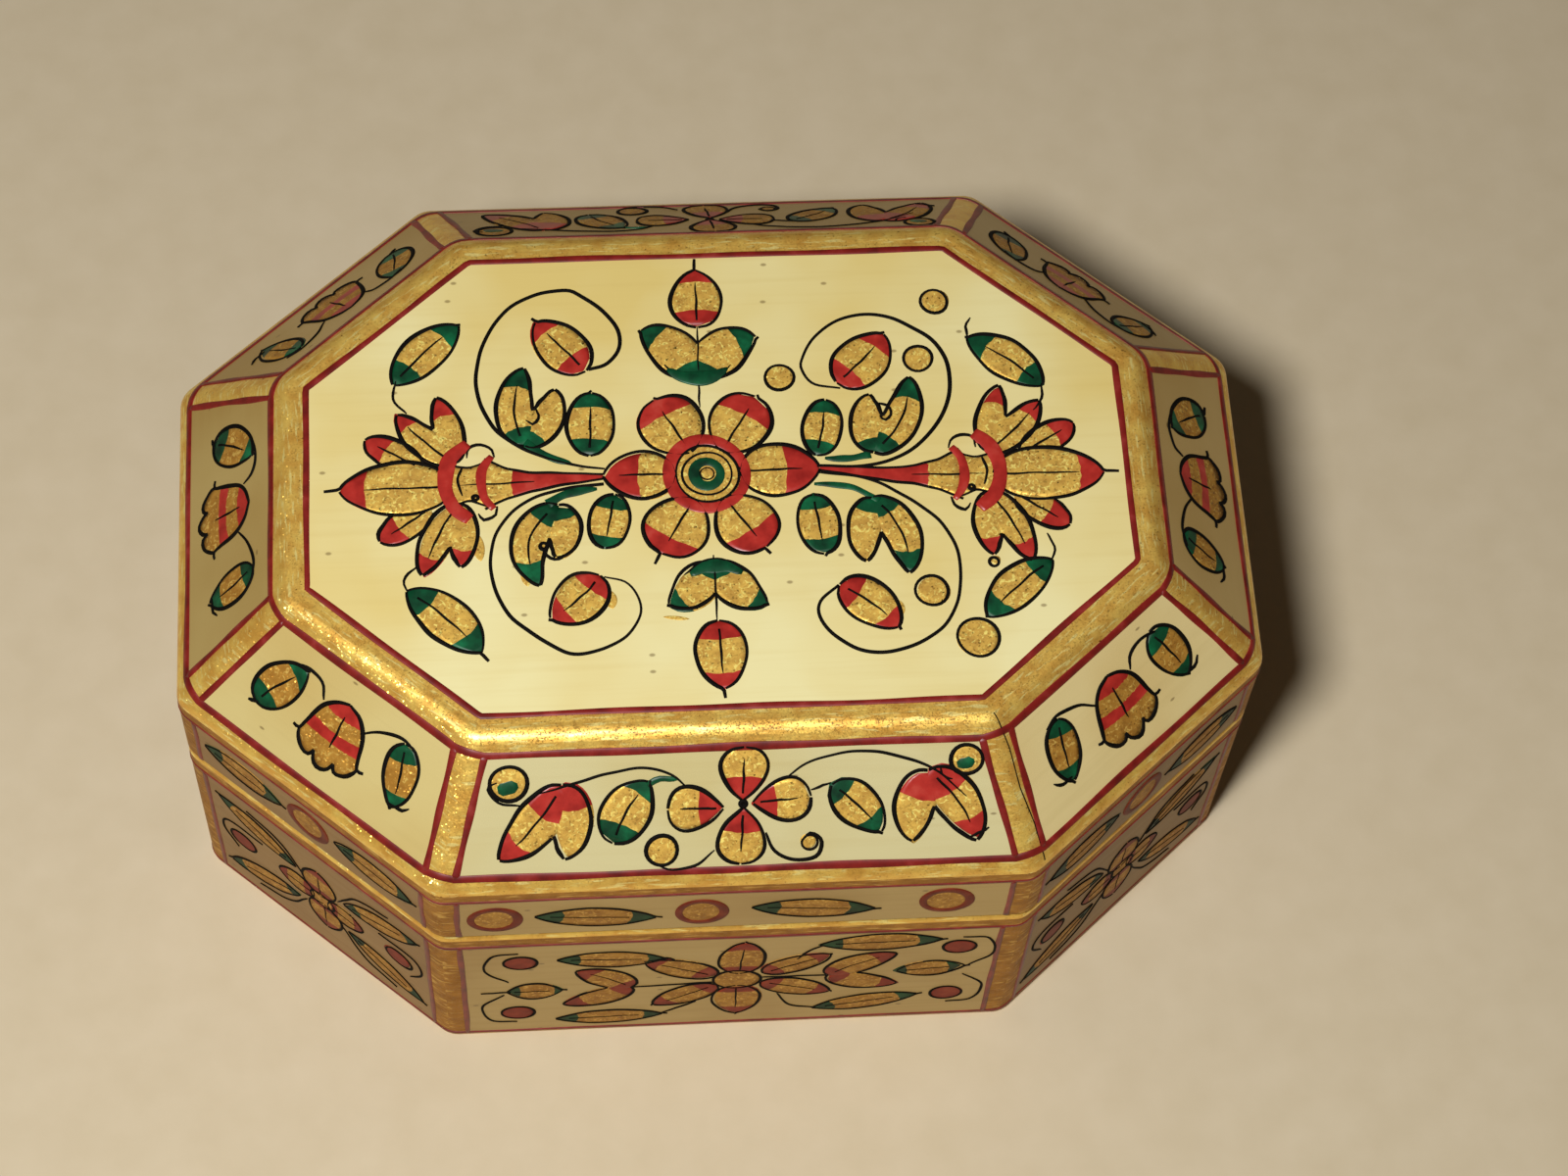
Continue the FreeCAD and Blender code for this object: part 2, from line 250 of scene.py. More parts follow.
class Shading:
    """A material being made: its node tree, its shader, and its coordinates in millimetres."""

    def __init__(self, name: str) -> None:
        """Starts a material of that name."""
        self.material = bpy.data.materials.new(name)
        self.material.use_nodes = True
        self.tree = self.material.node_tree
        self.shader = self.tree.nodes["Principled BSDF"]
        self.place = self.add("VectorMath", {0: self.add("TexCoord", out="Object"), "Scale": 1 / MM}, operation="SCALE")

    def add(self, kind: str, inputs: dict | None = None, out: int | str = 0, **settings: object) -> Socket:
        """Adds one node with its settings, and fills or links its inputs.

        Args:
            kind: The shader node's type name.
            inputs: Socket name or number to a constant or to another node's output.
            out: The output that is wanted.
            settings: The node's own properties.

        Returns:
            That output of the new node.
        """
        node = self.tree.nodes.new("ShaderNode" + kind)
        for name, value in settings.items():
            setattr(node, name, value)
        self.feed(node, inputs or {})
        return node.outputs[out]

    def feed(self, node: bpy.types.Node, inputs: dict) -> None:
        """Fills or links a node's inputs, by socket name or number."""
        for socket, value in inputs.items():
            if isinstance(value, Socket):
                self.tree.links.new(value, node.inputs[socket])
            else:
                node.inputs[socket].default_value = value

    def along(self, turn: float, stretch: float) -> Socket:
        """Makes coordinates in millimetres whose X runs along a side of the box.

        Args:
            turn: The side's direction in plan, in radians.
            stretch: What X is multiplied by, below one where the pattern is drawn out along the side.

        Returns:
            The coordinates.
        """
        side = self.add("VectorRotate", {"Vector": self.place, "Angle": -turn}, rotation_type="Z_AXIS")
        return self.add("VectorMath", {0: side, 1: (stretch, 1.0, 1.0)}, operation="MULTIPLY")

    def layer(self, ground: Socket | str, colour: str, pattern: Socket, low: float, high: float,
              most: float = 1.0) -> Socket:
        """Lays a colour over a ground where a pattern is strong.

        Args:
            ground: The colour below, or where it comes from.
            colour: The colour laid over it.
            pattern: What says where.
            low: The pattern's value where the colour starts to show.
            high: Its value where the colour is at its fullest.
            most: How much of the colour shows there.

        Returns:
            The coloured surface.
        """
        share = self.add("MapRange", {0: pattern, 1: low, 2: high, 4: most})
        below = linear(ground) if isinstance(ground, str) else ground
        return self.add("Mix", {0: share, 6: below, 7: linear(colour)}, 2, data_type="RGBA")

    def finish(self, **inputs: object) -> Material:
        """Feeds the shader, with underscores for the spaces in its sockets' names.

        Args:
            inputs: Socket to constant or output.

        Returns:
            The finished material.
        """
        self.feed(self.shader, {name.replace("_", " "): value for name, value in inputs.items()})
        return self.material


@dataclass(frozen=True)
class PolishedBone:
    """Bone sheet, sawn, scraped and polished: cream, yellower in patches and to the back, with fine pores."""

    pale: str = "#E7DCA3"
    warm: str = "#DCC478"
    streak: str = "#C8AE62"
    pore: str = "#6A4E24"
    roughness: float = 0.34
    ior: float = 1.54
    patch_mm: float = 26.0
    streak_mm: float = 1.1
    streak_length_mm: float = 22.0
    pore_mm: float = 4.5
    pore_shape: float = 0.6
    reach_mm: float = 40.0

    def build(self, name: str, turn: float) -> Material:
        """Makes the material.

        Args:
            name: The side or plate it is for.
            turn: The plate's direction in plan, in radians.

        Returns:
            The material.
        """
        s = Shading("bone_polished_sheet_" + name)
        patches = s.add("TexNoise", {"Vector": s.place, "Scale": 1 / self.patch_mm, "Detail": 3.0})
        drawn = s.along(turn, self.streak_mm / self.streak_length_mm)
        streaks = s.add("TexNoise", {"Vector": drawn, "Scale": 1 / self.streak_mm, "Detail": 4.0})
        # Yellower and darker towards the back
        depth = s.add("SeparateXYZ", {0: s.place}, "Y")
        towards_back = s.add("MapRange", {0: depth, 1: -self.reach_mm, 2: self.reach_mm, 3: -0.14, 4: 0.16})
        ground = s.layer(self.pale, self.warm, s.add("Math", {0: patches, 1: towards_back}), 0.35, 0.68)
        ground = s.layer(ground, self.streak, streaks, 0.5, 0.78, 0.18)
        # One cell in five holds a pore; real pores are finer and closer, and these are as coarse as they need to show
        x, y, z = s.add("SeparateXYZ", {0: s.along(turn, self.pore_shape)}).node.outputs
        flat = s.add("CombineXYZ", {0: x, 1: s.add("Math", {0: y, 1: z})})
        cells = s.add("TexVoronoi", {"Vector": flat, "Scale": 1 / self.pore_mm}, voronoi_dimensions="2D").node.outputs
        near = s.add("MapRange", {0: cells["Distance"], 1: 0.03, 2: 0.06, 3: 1.0, 4: 0.0})
        chosen = s.add("Math", {0: s.add("SeparateColor", {0: cells["Color"]}), 1: 0.78}, operation="GREATER_THAN")
        pores = s.add("Math", {0: near, 1: chosen}, operation="MULTIPLY")
        colour = s.layer(ground, self.pore, pores, 0.0, 1.0, 0.6)
        gloss = s.add("MapRange", {0: streaks, 3: self.roughness - 0.06, 4: self.roughness + 0.1})
        bump = s.add("Bump", {"Strength": 0.12, "Distance": 0.0001, "Height": streaks})
        return s.finish(Base_Color=colour, Roughness=gloss, IOR=self.ior, Normal=bump)


@dataclass(frozen=True)
class BronzePaint:
    """Bronze powder in varnish, brushed on: flakes that glint one by one over a softer brown-gold ground."""

    name: str
    light: str = "#FFEA80"
    middle: str = "#E6BA58"
    dark: str = "#C89A48"
    flake_mm: float = 0.2
    clump_mm: float = 1.3
    brush_mm: float = 3.0
    metallic: float = 0.25
    roughness: float = 0.42
    tilt: float = 1.3
    coat: float = 0.0
    dab_mm: float = 0.75
    drag: float = 1.0

    def build(self, side: str = "", turn: float = 0.0) -> Material:
        """Makes the material; the flakes are drawn coarser than real powder so that they show.

        Args:
            side: The side of the box that it is for, where the brush ran along one.
            turn: That side's direction in plan, in radians.

        Returns:
            The material.
        """
        s = Shading("_".join(filter(None, (self.name, side))))
        drawn = s.along(turn, 1 / self.drag)
        flakes = s.add("TexVoronoi", {"Vector": s.place, "Scale": 1 / self.flake_mm}, "Color")
        clumps = s.add("TexNoise", {"Vector": s.place, "Scale": 1 / self.clump_mm, "Detail": 4.0})
        brush = s.add("TexNoise", {"Vector": drawn, "Scale": 1 / self.brush_mm, "Detail": 2.0})
        streaks_and_glints = s.add("TexNoise", {"Vector": drawn, "Scale": 1 / self.dab_mm, "Detail": 2.0,
                                  "Distortion": 1.5 / self.drag})
        ground = s.layer(self.dark, self.middle, clumps, 0.36, 0.66)
        # Paler streaks of powder along the brush: uneven powder, and painted glints as well
        colour = s.layer(ground, self.light, streaks_and_glints, 0.56, 0.66, 0.9)
        # A few loose flakes lean out of the varnish and glint
        grain = s.add("SeparateColor", {0: flakes})
        lean = s.add("VectorMath", {0: flakes, 1: (0.5, 0.5, 0.5)}, operation="SUBTRACT")
        loose = s.add("MapRange", {0: grain, 1: 0.72, 2: 1.0, 3: 0.04 * self.tilt, 4: self.tilt})
        leaned = s.add("VectorMath", {0: lean, "Scale": loose}, operation="SCALE")
        lay = s.add("Bump", {"Strength": 0.35, "Distance": 0.0004, "Height": brush})
        normal = s.add("VectorMath", {0: s.add("VectorMath", {0: lay, 1: leaned})}, operation="NORMALIZE")
        gloss = s.add("MapRange", {0: grain, 3: self.roughness + 0.12, 4: self.roughness - 0.08})
        return s.finish(Base_Color=colour, Metallic=self.metallic, Roughness=gloss, Specular_Tint=linear(self.light),
                        Normal=normal, Coat_Weight=self.coat, Coat_Roughness=0.28)


@dataclass(frozen=True)
class BrushedPaint:
    """Oil-bound paint laid with a fine brush: glossy, deeper where it pools and thin where the brush lifted."""

    name: str
    deep: str
    body: str
    thin: str
    roughness: float = 0.36
    ior: float = 1.5
    pool_mm: float = 2.2

    def build(self) -> Material:
        """Makes the material."""
        s = Shading(self.name)
        pools = s.add("TexNoise", {"Vector": s.place, "Scale": 1 / self.pool_mm, "Detail": 5.0})
        ground = s.layer(self.deep, self.body, pools, 0.3, 0.55)
        colour = s.layer(ground, self.thin, pools, 0.56, 0.76)
        bump = s.add("Bump", {"Strength": 0.2, "Distance": 0.0001, "Height": pools})
        return s.finish(Base_Color=colour, Roughness=self.roughness, IOR=self.ior, Normal=bump)


@dataclass(frozen=True)
class VarnishedWood:
    """Indian rosewood, planed and varnished: brown with dark growth streaks along the board and short pores."""

    light: str = "#8A5A33"
    dark: str = "#4A2B17"
    pore: str = "#2A170C"
    ring_mm: float = 3.2
    streak_length_mm: float = 70.0
    pore_mm: float = 0.45
    pore_shape: float = 0.12
    roughness: float = 0.42

    def build(self, name: str, turn: float) -> Material:
        """Makes the material.

        Args:
            name: The board it is for.
            turn: The board's direction in plan, in radians.

        Returns:
            The material.
        """
        s = Shading("rosewood_varnished_" + name)
        rings = s.add("TexNoise", {"Vector": s.along(turn, self.ring_mm / self.streak_length_mm),
                                   "Scale": 1 / self.ring_mm, "Detail": 5.0, "Distortion": 0.6})
        pores = s.add("TexNoise", {"Vector": s.along(turn, self.pore_shape), "Scale": 1 / self.pore_mm, "Detail": 2.0})
        ground = s.layer(self.dark, self.light, rings, 0.32, 0.68)
        colour = s.layer(ground, self.pore, pores, 0.62, 0.74, 0.7)
        bump = s.add("Bump", {"Strength": 0.25, "Distance": 0.0001, "Height": pores}, invert=True)
        return s.finish(Base_Color=colour, Roughness=self.roughness, IOR=1.5, Coat_Weight=0.25, Coat_Roughness=0.2,
                        Normal=bump)


@dataclass(frozen=True)
class SilkVelvet:
    """Cut-pile velvet: deep red, paler where the pile leans, with a bloom at glancing angles."""

    name: str = "velvet_cut_pile"
    deep: str = "#5A0914"
    body: str = "#8C1525"
    bloom: str = "#E06A70"
    lean_mm: float = 14.0
    pile_mm: float = 0.35

    def build(self) -> Material:
        """Makes the material; the pile is drawn coarser than real pile so that it shows."""
        s = Shading(self.name)
        leans = s.add("TexNoise", {"Vector": s.place, "Scale": 1 / self.lean_mm, "Detail": 3.0})
        pile = s.add("TexNoise", {"Vector": s.place, "Scale": 1 / self.pile_mm, "Detail": 2.0})
        lean = s.add("MapRange", {0: leans, 1: 0.35, 2: 0.68})
        tuft = s.add("MapRange", {0: pile, 1: 0.3, 2: 0.7})
        lit = s.add("Math", {0: lean, 1: tuft}, operation="MULTIPLY")
        colour = s.layer(self.deep, self.body, lit, 0.0, 1.0)
        bump = s.add("Bump", {"Strength": 0.6, "Distance": 0.0002, "Height": pile})
        return s.finish(Base_Color=colour, Roughness=0.92, Sheen_Weight=0.9, Sheen_Roughness=0.35,
                        Sheen_Tint=linear(self.bloom), Normal=bump)


@dataclass(frozen=True)
class AgedBrass:
    """Rolled brass, handled and never lacquered: warm yellow with brown tarnish in patches."""

    name: str
    bright: str = "#C9A55A"
    tarnish: str = "#7C5A2A"
    patch_mm: float = 2.4
    roughness: float = 0.34

    def build(self) -> Material:
        """Makes the material."""
        s = Shading(self.name)
        low, high = 0.45, 0.75
        patches = s.add("TexNoise", {"Vector": s.place, "Scale": 1 / self.patch_mm, "Detail": 6.0})
        colour = s.layer(self.bright, self.tarnish, patches, low, high)
        gloss = s.add("MapRange", {0: patches, 1: low, 2: high, 3: self.roughness, 4: self.roughness + 0.25})
        bump = s.add("Bump", {"Strength": 0.1, "Distance": 0.0001, "Height": patches})
        return s.finish(Base_Color=colour, Metallic=1.0, Roughness=gloss, Normal=bump)


@dataclass(frozen=True)
class StudioPaper:
    """Matt paper sweep under the box: pale and even, with a trace of fibre."""

    name: str = "paper_matt_sweep"
    pale: str = "#D8C8AA"
    fibre: str = "#CCBB9A"
    fibre_mm: float = 6.0

    def build(self) -> Material:
        """Makes the material."""
        s = Shading(self.name)
        fibres = s.add("TexNoise", {"Vector": s.place, "Scale": 1 / self.fibre_mm, "Detail": 4.0})
        return s.finish(Base_Color=s.layer(self.pale, self.fibre, fibres, 0.0, 1.0), Roughness=0.9)


@dataclass(frozen=True)
class Panel:
    """The outer face of a plate as a drawing board, in millimetres across and up from its middle.

    The corners run lower left, lower right, upper right and upper left as seen from outside.
    """

    node: str
    origin: Array
    across: Array
    up: Array
    out: Array
    corners: Array

    @classmethod
    def of(cls, node: str) -> "Panel":
        """Finds the outer face of a CAD node.

        Args:
            node: The plate's node.

        Returns:
            The panel on its largest outward face.
        """
        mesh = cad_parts[node].data
        middle = np.array((0.0, 0.0, 0.5 * (CAD_BOX[0][2] + CAD_BOX[1][2])))
        groups: dict[tuple[float, ...], list[bpy.types.MeshPolygon]] = {}
        for polygon in mesh.polygons:
            if np.dot(polygon.normal, np.array(polygon.center) - middle) > 0:
                groups.setdefault(tuple(round(n, 2) for n in polygon.normal), []).append(polygon)
        face = max(groups.values(), key=lambda group: sum(p.area for p in group))
        out = unit(np.array(face[0].normal))
        lies_flat = out[2] > 0.99
        across = np.array((1.0, 0.0, 0.0)) if lies_flat else unit(np.cross((0.0, 0.0, 1.0), out))
        up = np.cross(out, across)
        used = sorted({i for polygon in face for i in polygon.vertices})
        points = np.array([mesh.vertices[i].co for i in used], float)
        flat = np.stack([points @ across, points @ up], axis=1) / MM
        low, high = flat[:, 1].min(), flat[:, 1].max()
        edge_mm = 0.05
        lower = flat[flat[:, 1] < low + edge_mm, 0]
        upper = flat[flat[:, 1] > high - edge_mm, 0]
        mid = np.array((0.5 * (lower.min() + lower.max()), 0.5 * (low + high)))
        corners = np.array([(lower.min(), low), (lower.max(), low), (upper.max(), high), (upper.min(), high)]) - mid
        origin = across * mid[0] * MM + up * mid[1] * MM + out * np.dot(points[0], out)
        return cls(node, origin, across, up, out, corners)

    def place(self, flat: Array, height: float | Array = 0.0) -> Array:
        """Puts drawn points in the box's frame.

        Args:
            flat: Millimetres across and up, one point per row.
            height: Millimetres above the face.

        Returns:
            Points in metres.
        """
        rise = np.broadcast_to(np.asarray(height, float), flat.shape[:-1])[..., None]
        return self.origin + MM * (flat[..., :1] * self.across + flat[..., 1:2] * self.up + rise * self.out)

    def outs(self, count: int) -> Array:
        """The outward direction, once for each of so many points."""
        return np.tile(self.out, (count, 1))

    def turn(self) -> float:
        """The panel's direction in plan, in radians."""
        return math.atan2(self.across[1], self.across[0])


class Relief:
    """Raised brushwork gathered into one mesh, every stroke a small closed shape."""

    def __init__(self) -> None:
        """Starts with nothing drawn."""
        self.points: list[Array] = []
        self.faces: list[Face] = []
        self.paints: list[int] = []
        self.count = 0

    def keep(self, points: Array, faces: Sequence[Face], paints: Sequence[int]) -> None:
        """Takes in one closed shape.

        Args:
            points: Its points in metres.
            faces: Its faces, numbered from its own first point.
            paints: Each face's paint.
        """
        self.points.append(points)
        self.faces += [tuple(int(i) + self.count for i in face) for face in faces]
        self.paints += list(paints)
        self.count += len(points)

    def ribbon(self, line: Array, out: Array, widths: Array, crown: float, paint: Paint, closed: bool = False) -> None:
        """Lays a domed stroke along a line on the surface.

        Args:
            line: Points on the surface in metres.
            out: The surface's outward direction at each.
            widths: The stroke's width at each, in millimetres.
            crown: How high its middle stands, in millimetres.
            paint: What it is painted with.
            closed: Whether the line returns to its start.
        """
        count = len(line)
        tangent = np.roll(line, -1, axis=0) - np.roll(line, 1, axis=0) if closed else np.gradient(line, axis=0)
        side = unit(np.cross(out, unit(tangent)))
        half = 0.5 * MM * np.asarray(widths, float)[:, None]
        edge = EDGE_SHARE * crown
        rim = BROAD_EDGE if np.max(widths) > BROAD else THIN_EDGE
        slope = [(-1.0, -SINK)] + [(x, share * edge) for x, share in rim]
        section = slope + [(0.0, crown)] + [(-x, z) for x, z in reversed(slope)]
        size = len(section)
        rings = np.stack([line + side * half * x + out * (z * MM) for x, z in section], axis=1)
        faces: list[Face] = []
        for i in range(count if closed else count - 1):
            a, b = i * size, (i + 1) % count * size
            faces += [(a + k, b + k, b + (k + 1) % size, a + (k + 1) % size) for k in range(size)]
        if not closed:
            faces += [tuple(range(size)), tuple((count - 1) * size + k for k in reversed(range(size)))]
        self.keep(rings.reshape(-1, 3), faces, [paint.value] * len(faces))

    def blade(self, grid: Array, heights: Array, panel: Panel, paints: Array) -> None:
        """Fills a shape drawn as rows of points from its base to its tip.

        Args:
            grid: Rows of points from right to left, in millimetres on the panel.
            heights: How high each stands, in millimetres.
            panel: The panel it is drawn on.
            paints: Each row gap's paint.
        """
        rows, columns = grid.shape[:2]
        flat = grid.reshape(-1, 2)
        edge = [(i, 0) for i in range(rows)] + [(rows - 1, k) for k in range(1, columns)]
        edge += [(i, columns - 1) for i in range(rows - 2, -1, -1)] + [(0, k) for k in range(columns - 2, 0, -1)]
        rim = [i * columns + k for i, k in edge]
        start = rows * columns
        faces: list[Face] = []
        marks: list[int] = []
        for i in range(rows - 1):
            faces += [(a, a + columns, a + columns + 1, a + 1) for a in range(i * columns, (i + 1) * columns - 1)]
            marks += [int(paints[i])] * (columns - 1)
        for n in range(len(rim)):
            m = (n + 1) % len(rim)
            faces.append((rim[n], start + n, start + m, rim[m]))
            marks.append(int(paints[min(edge[n][0], edge[m][0], rows - 2)]))
        faces.append(tuple(start + n for n in reversed(range(len(rim)))))
        marks.append(int(paints[0]))
        foot = panel.place(flat[rim], -SINK)
        self.keep(np.vstack([panel.place(flat, heights.reshape(-1)), foot]), faces, marks)

    def build(self, name: str, body: str, paints: Sequence[Material]) -> None:
        """Makes the mesh and sets it on its body.

        Args:
            name: The piece's name.
            body: The body that it rides on.
            paints: The materials, in the order of Paint.
        """
        used = sorted(set(self.paints))
        marks = [used.index(paint) for paint in self.paints]
        points = np.vstack(self.points).tolist()
        make_piece(name, body, points, self.faces, [paints[paint] for paint in used], marks)
        log.info("%s painted: %d faces", name, len(self.faces))


@dataclass
class Brush:
    """A hand at work on one panel: what it draws goes into the panel's relief, with a small seeded unsteadiness."""

    panel: Panel
    seed: int
    ink_mm: float
    flip: float
    unsteady_mm: float = 0.06
    slip_mm: float = 0.15
    slow_wave_mm: float = 9.0
    quick_wave_mm: float = 4.0
    rows_to_a_fill: int = 14
    columns_to_a_fill: int = 9
    columns_to_a_hem: int = 25
    ragged_share: float = 0.012
    offset: Point = (0.0, 0.0)
    relief: Relief = field(default_factory=Relief)
    rng: np.random.RandomState = field(init=False)

    def __post_init__(self) -> None:
        """Seeds the hand."""
        self.rng = np.random.RandomState(self.seed)

    def laid(self, flat: Array) -> Array:
        """Moves drawn points to the motif's own place, mirrored where the panel is drawn the other way round."""
        return (flat + np.array(self.offset)) * np.array((self.flip, 1.0))

    def shaken(self, flat: Array) -> Array:
        """Adds the hand's slow waver to a line.

        Args:
            flat: Points along the line in millimetres.

        Returns:
            The wavering line, its ends kept near their places.
        """
        reach = np.linspace(0.0, 1.0, len(flat))
        length = float(np.linalg.norm(np.diff(flat, axis=0), axis=1).sum())
        waver = np.zeros_like(flat)
        for waves in (max(1.0, length / self.slow_wave_mm), max(2.0, length / self.quick_wave_mm)):
            phase = self.rng.uniform(0.0, 2 * math.pi, 2)
            waver += np.sin(2 * math.pi * waves * reach[:, None] + phase) / waves**0.3
        fade = np.minimum(1.0, 6 * np.minimum(reach, 1 - reach) + 0.2)[:, None]
        return flat + 0.6 * self.unsteady_mm * waver * fade

    def lay(self, line: Array, widths: Array, crown: float, paint: Paint, closed: bool = False) -> None:
        """Lays paint along a line on the panel.

        Args:
            line: Points along the line in millimetres.
            widths: The stroke's width at each.
            crown: How high the stroke stands.
            paint: What the brush holds.
            closed: Whether the line returns to its start.
        """
        line = self.laid(line)
        self.relief.ribbon(self.panel.place(line), self.panel.outs(len(line)), widths, crown, paint, closed)

    def stroke(self, points: Sequence[Sequence[float]], width: float | None = None, paint: Paint = Paint.INK,
               start: float = 0.45, end: float = 0.35, crown: float = INK_CROWN, steady: bool = False) -> None:
        """Draws one stroke that swells in the middle.

        Args:
            points: Where the brush passes, in millimetres.
            width: Its full width, or the ink line's.
            paint: What the brush holds.
            start: The width at the start, as a share of the full width.
            end: The width at the end, as a share.
            crown: How high the stroke stands.
            steady: Whether the points already are the line.
        """
        line = self.shaken(spaced(np.asarray(points, float), STEP) if steady else smooth(points))
        t = np.linspace(0.0, 1.0, len(line))
        base = np.where(t < 0.5, start, end)
        swell = base + (1 - base) * np.sin(math.pi * t).clip(0.0) ** 0.6
        uneven = 1 + 0.1 * np.sin(9 * t + self.rng.uniform(0, ANY_PHASE))
        self.lay(line, (width or self.ink_mm) * swell * uneven, crown, paint)

    def ring(self, middle: Point, radius: Point, width: float, paint: Paint) -> None:
        """Draws a closed ring.

        Args:
            middle: Its middle in millimetres.
            radius: Its radius across and up, at the middle of the stroke.
            width: The stroke's width.
            paint: What it is painted with.
        """
        count = max(16, int(2 * math.pi * max(radius) / STEP))
        angle = np.linspace(0.0, 2 * math.pi, count, endpoint=False) * self.flip
        waver = np.ones(count)
        for waves, much in ((2, 0.02), (3, 0.012)):
            waver += much * np.sin(waves * angle + self.rng.uniform(0, ANY_PHASE))
        way = np.stack([np.cos(angle), np.sin(angle)], axis=1)
        widths = width * (1 + 0.14 * np.sin(angle + self.rng.uniform(0, ANY_PHASE)))
        self.lay(np.array(middle) + np.array(radius) * waver[:, None] * way, widths, INK_CROWN, paint, True)

    def fill(self, right: Array, left: Array, zones: Sequence[tuple[float, Paint]], bulge: float,
             crown: float = FILL_CROWN, hem: Callable[[Array], Array] | None = None) -> None:
        """Fills between two edges drawn from the same base to the same tip.

        Args:
            right: The right edge, base to tip, in millimetres.
            left: The left edge, with as many points.
            zones: Where along the shape each paint ends, as a share of its length, with the paint.
            bulge: How far the zones' edges bow towards the tip, as a share of the length.
            crown: How high the fill stands.
            hem: How far the tip hangs down across the shape, from minus one to one.
        """
        stops = [0.0] + [end for end, _ in zones]
        rows: list[float] = []
        paints: list[int] = []
        for low, high, (_, paint) in zip(stops, stops[1:], zones):
            gaps = max(2, int(round((high - low) * self.rows_to_a_fill)))
            rows += [low + (high - low) * i / gaps for i in range(gaps)]
            paints += [paint.value] * gaps
        levels = np.array(rows + [1.0])[:, None]
        columns = self.columns_to_a_fill if hem is None else self.columns_to_a_hem
        across = np.linspace(-1.0, 1.0, columns)[None, :]
        ragged = self.ragged_share * self.rng.uniform(-1, 1, (levels.size, across.size))
        inside = 4 * levels * (1 - levels)
        reach = np.clip(levels + inside * (bulge * (1 - across**2) + ragged), 0.0, 1.0)
        share = np.linspace(0.0, 1.0, len(right))
        edges = [np.stack([np.interp(reach, share, edge[:, k]) for k in (0, 1)], axis=-1) for edge in (right, left)]
        grid = edges[0] + (edges[1] - edges[0]) * (across[..., None] + 1) / 2
        if hem is not None:
            last = zones[-2][0]
            grid[..., 1] -= hem(across) * np.clip((levels - last) / (1 - last), 0, 1)
        grid = self.laid(grid)
        dome = np.sqrt(np.clip(1 - across**2, 0.0, 1.0)) * np.sqrt(np.clip(inside, 0.0, 1.0))
        self.relief.blade(grid[:, ::-1] if self.flip < 0 else grid, crown * (0.55 + 0.45 * dome), self.panel,
                          np.array(paints))


class Shape(Enum):
    """How a leaf or petal closes, as the sharpness of its base and of its tip: half is round, one is pointed."""

    ALMOND = (0.72, 0.72)
    OVAL = (0.5, 0.5)
    EGG = (0.52, 0.66)
    PETAL = (0.62, 0.48)
    DROP = (0.85, 0.46)
    SLENDER = (0.85, 0.85)


@dataclass(frozen=True)
class Leaf:
    """A leaf, bud, petal or dot: a gold fill with painted ends, an ink outline in two strokes and a vein."""

    base: Point
    tip: Point
    width: float
    bend: float = 0.0
    base_paint: Paint | None = None
    tip_paint: Paint | None = None
    base_share: float = 0.24
    tip_share: float = 0.26
    shape: Shape = Shape.ALMOND
    vein: bool = True
    spike: float = 0.0
    outline: bool = True
    crown: float = FILL_CROWN
    behind: "Leaf | None" = None

    def loop(self) -> Array:
        """The leaf's closed outline."""
        right, left, _ = self.edges()
        return np.vstack([right, left[::-1]])

    def edges(self) -> tuple[Array, Array, Array]:
        """Works out the leaf's form.

        Returns:
            The right edge, the left edge and the vein line, base to tip.
        """
        base, tip = np.array(self.base, float), np.array(self.tip, float)
        chord = tip - base
        side = np.array((-chord[1], chord[0])) / np.linalg.norm(chord)
        knee = 0.5 * (base + tip) + 2 * self.bend * side
        t = np.linspace(0.0, 1.0, 33)[:, None]
        axis = (1 - t) ** 2 * base + 2 * t * (1 - t) * knee + t**2 * tip
        left_way = leftward(unit(2 * (1 - t) * (knee - base) + 2 * t * (tip - knee)))
        sharp_base, sharp_tip = self.shape.value
        widest = sharp_base / (sharp_base + sharp_tip)
        most = widest**sharp_base * (1 - widest) ** sharp_tip
        half = np.maximum(0.5 * self.width * (t**sharp_base * (1 - t) ** sharp_tip / most), 0.02 * self.width)
        return axis - left_way * half, axis + left_way * half, axis

    def draw(self, brush: Brush) -> None:
        """Draws the leaf with a brush."""
        right, left, axis = self.edges()
        zones: list[tuple[float, Paint]] = []
        if self.base_paint is not None:
            zones.append((self.base_share, self.base_paint))
        if self.tip_paint is not None:
            zones += [(1 - self.tip_share, Paint.GOLD), (1.0, self.tip_paint)]
        else:
            zones.append((1.0, Paint.GOLD))
        slip = brush.rng.normal(0.0, brush.slip_mm, 2)
        brush.fill(right + slip, left + slip, zones, 0.05, self.crown)
        if self.outline:
            self.draw_outline(brush, right, left, axis)
        if self.vein:
            brush.stroke(axis[4:28:3], width=0.65 * brush.ink_mm, start=0.9, end=0.3)

    def draw_outline(self, brush: Brush, right: Array, left: Array, axis: Array) -> None:
        """Draws the two outline strokes, one heavier than the other, with a flick past the tip.

        Args:
            brush: The brush.
            right: The right edge.
            left: The left edge.
            axis: The middle line.
        """
        if self.behind is not None:
            right, left = outside(right, self.behind.loop()), outside(left, self.behind.loop())
        heavy, light = (right, left) if brush.rng.uniform() < 0.5 else (left, right)
        if self.spike:
            heavy = np.vstack([heavy, axis[-1:] + unit(axis[-1:] - axis[-3:-2]) * self.spike])
        for edge, weight in ((heavy, 1.12), (light, 0.85)):
            brush.stroke(edge, width=weight * brush.ink_mm, start=0.6, end=0.6, steady=True)


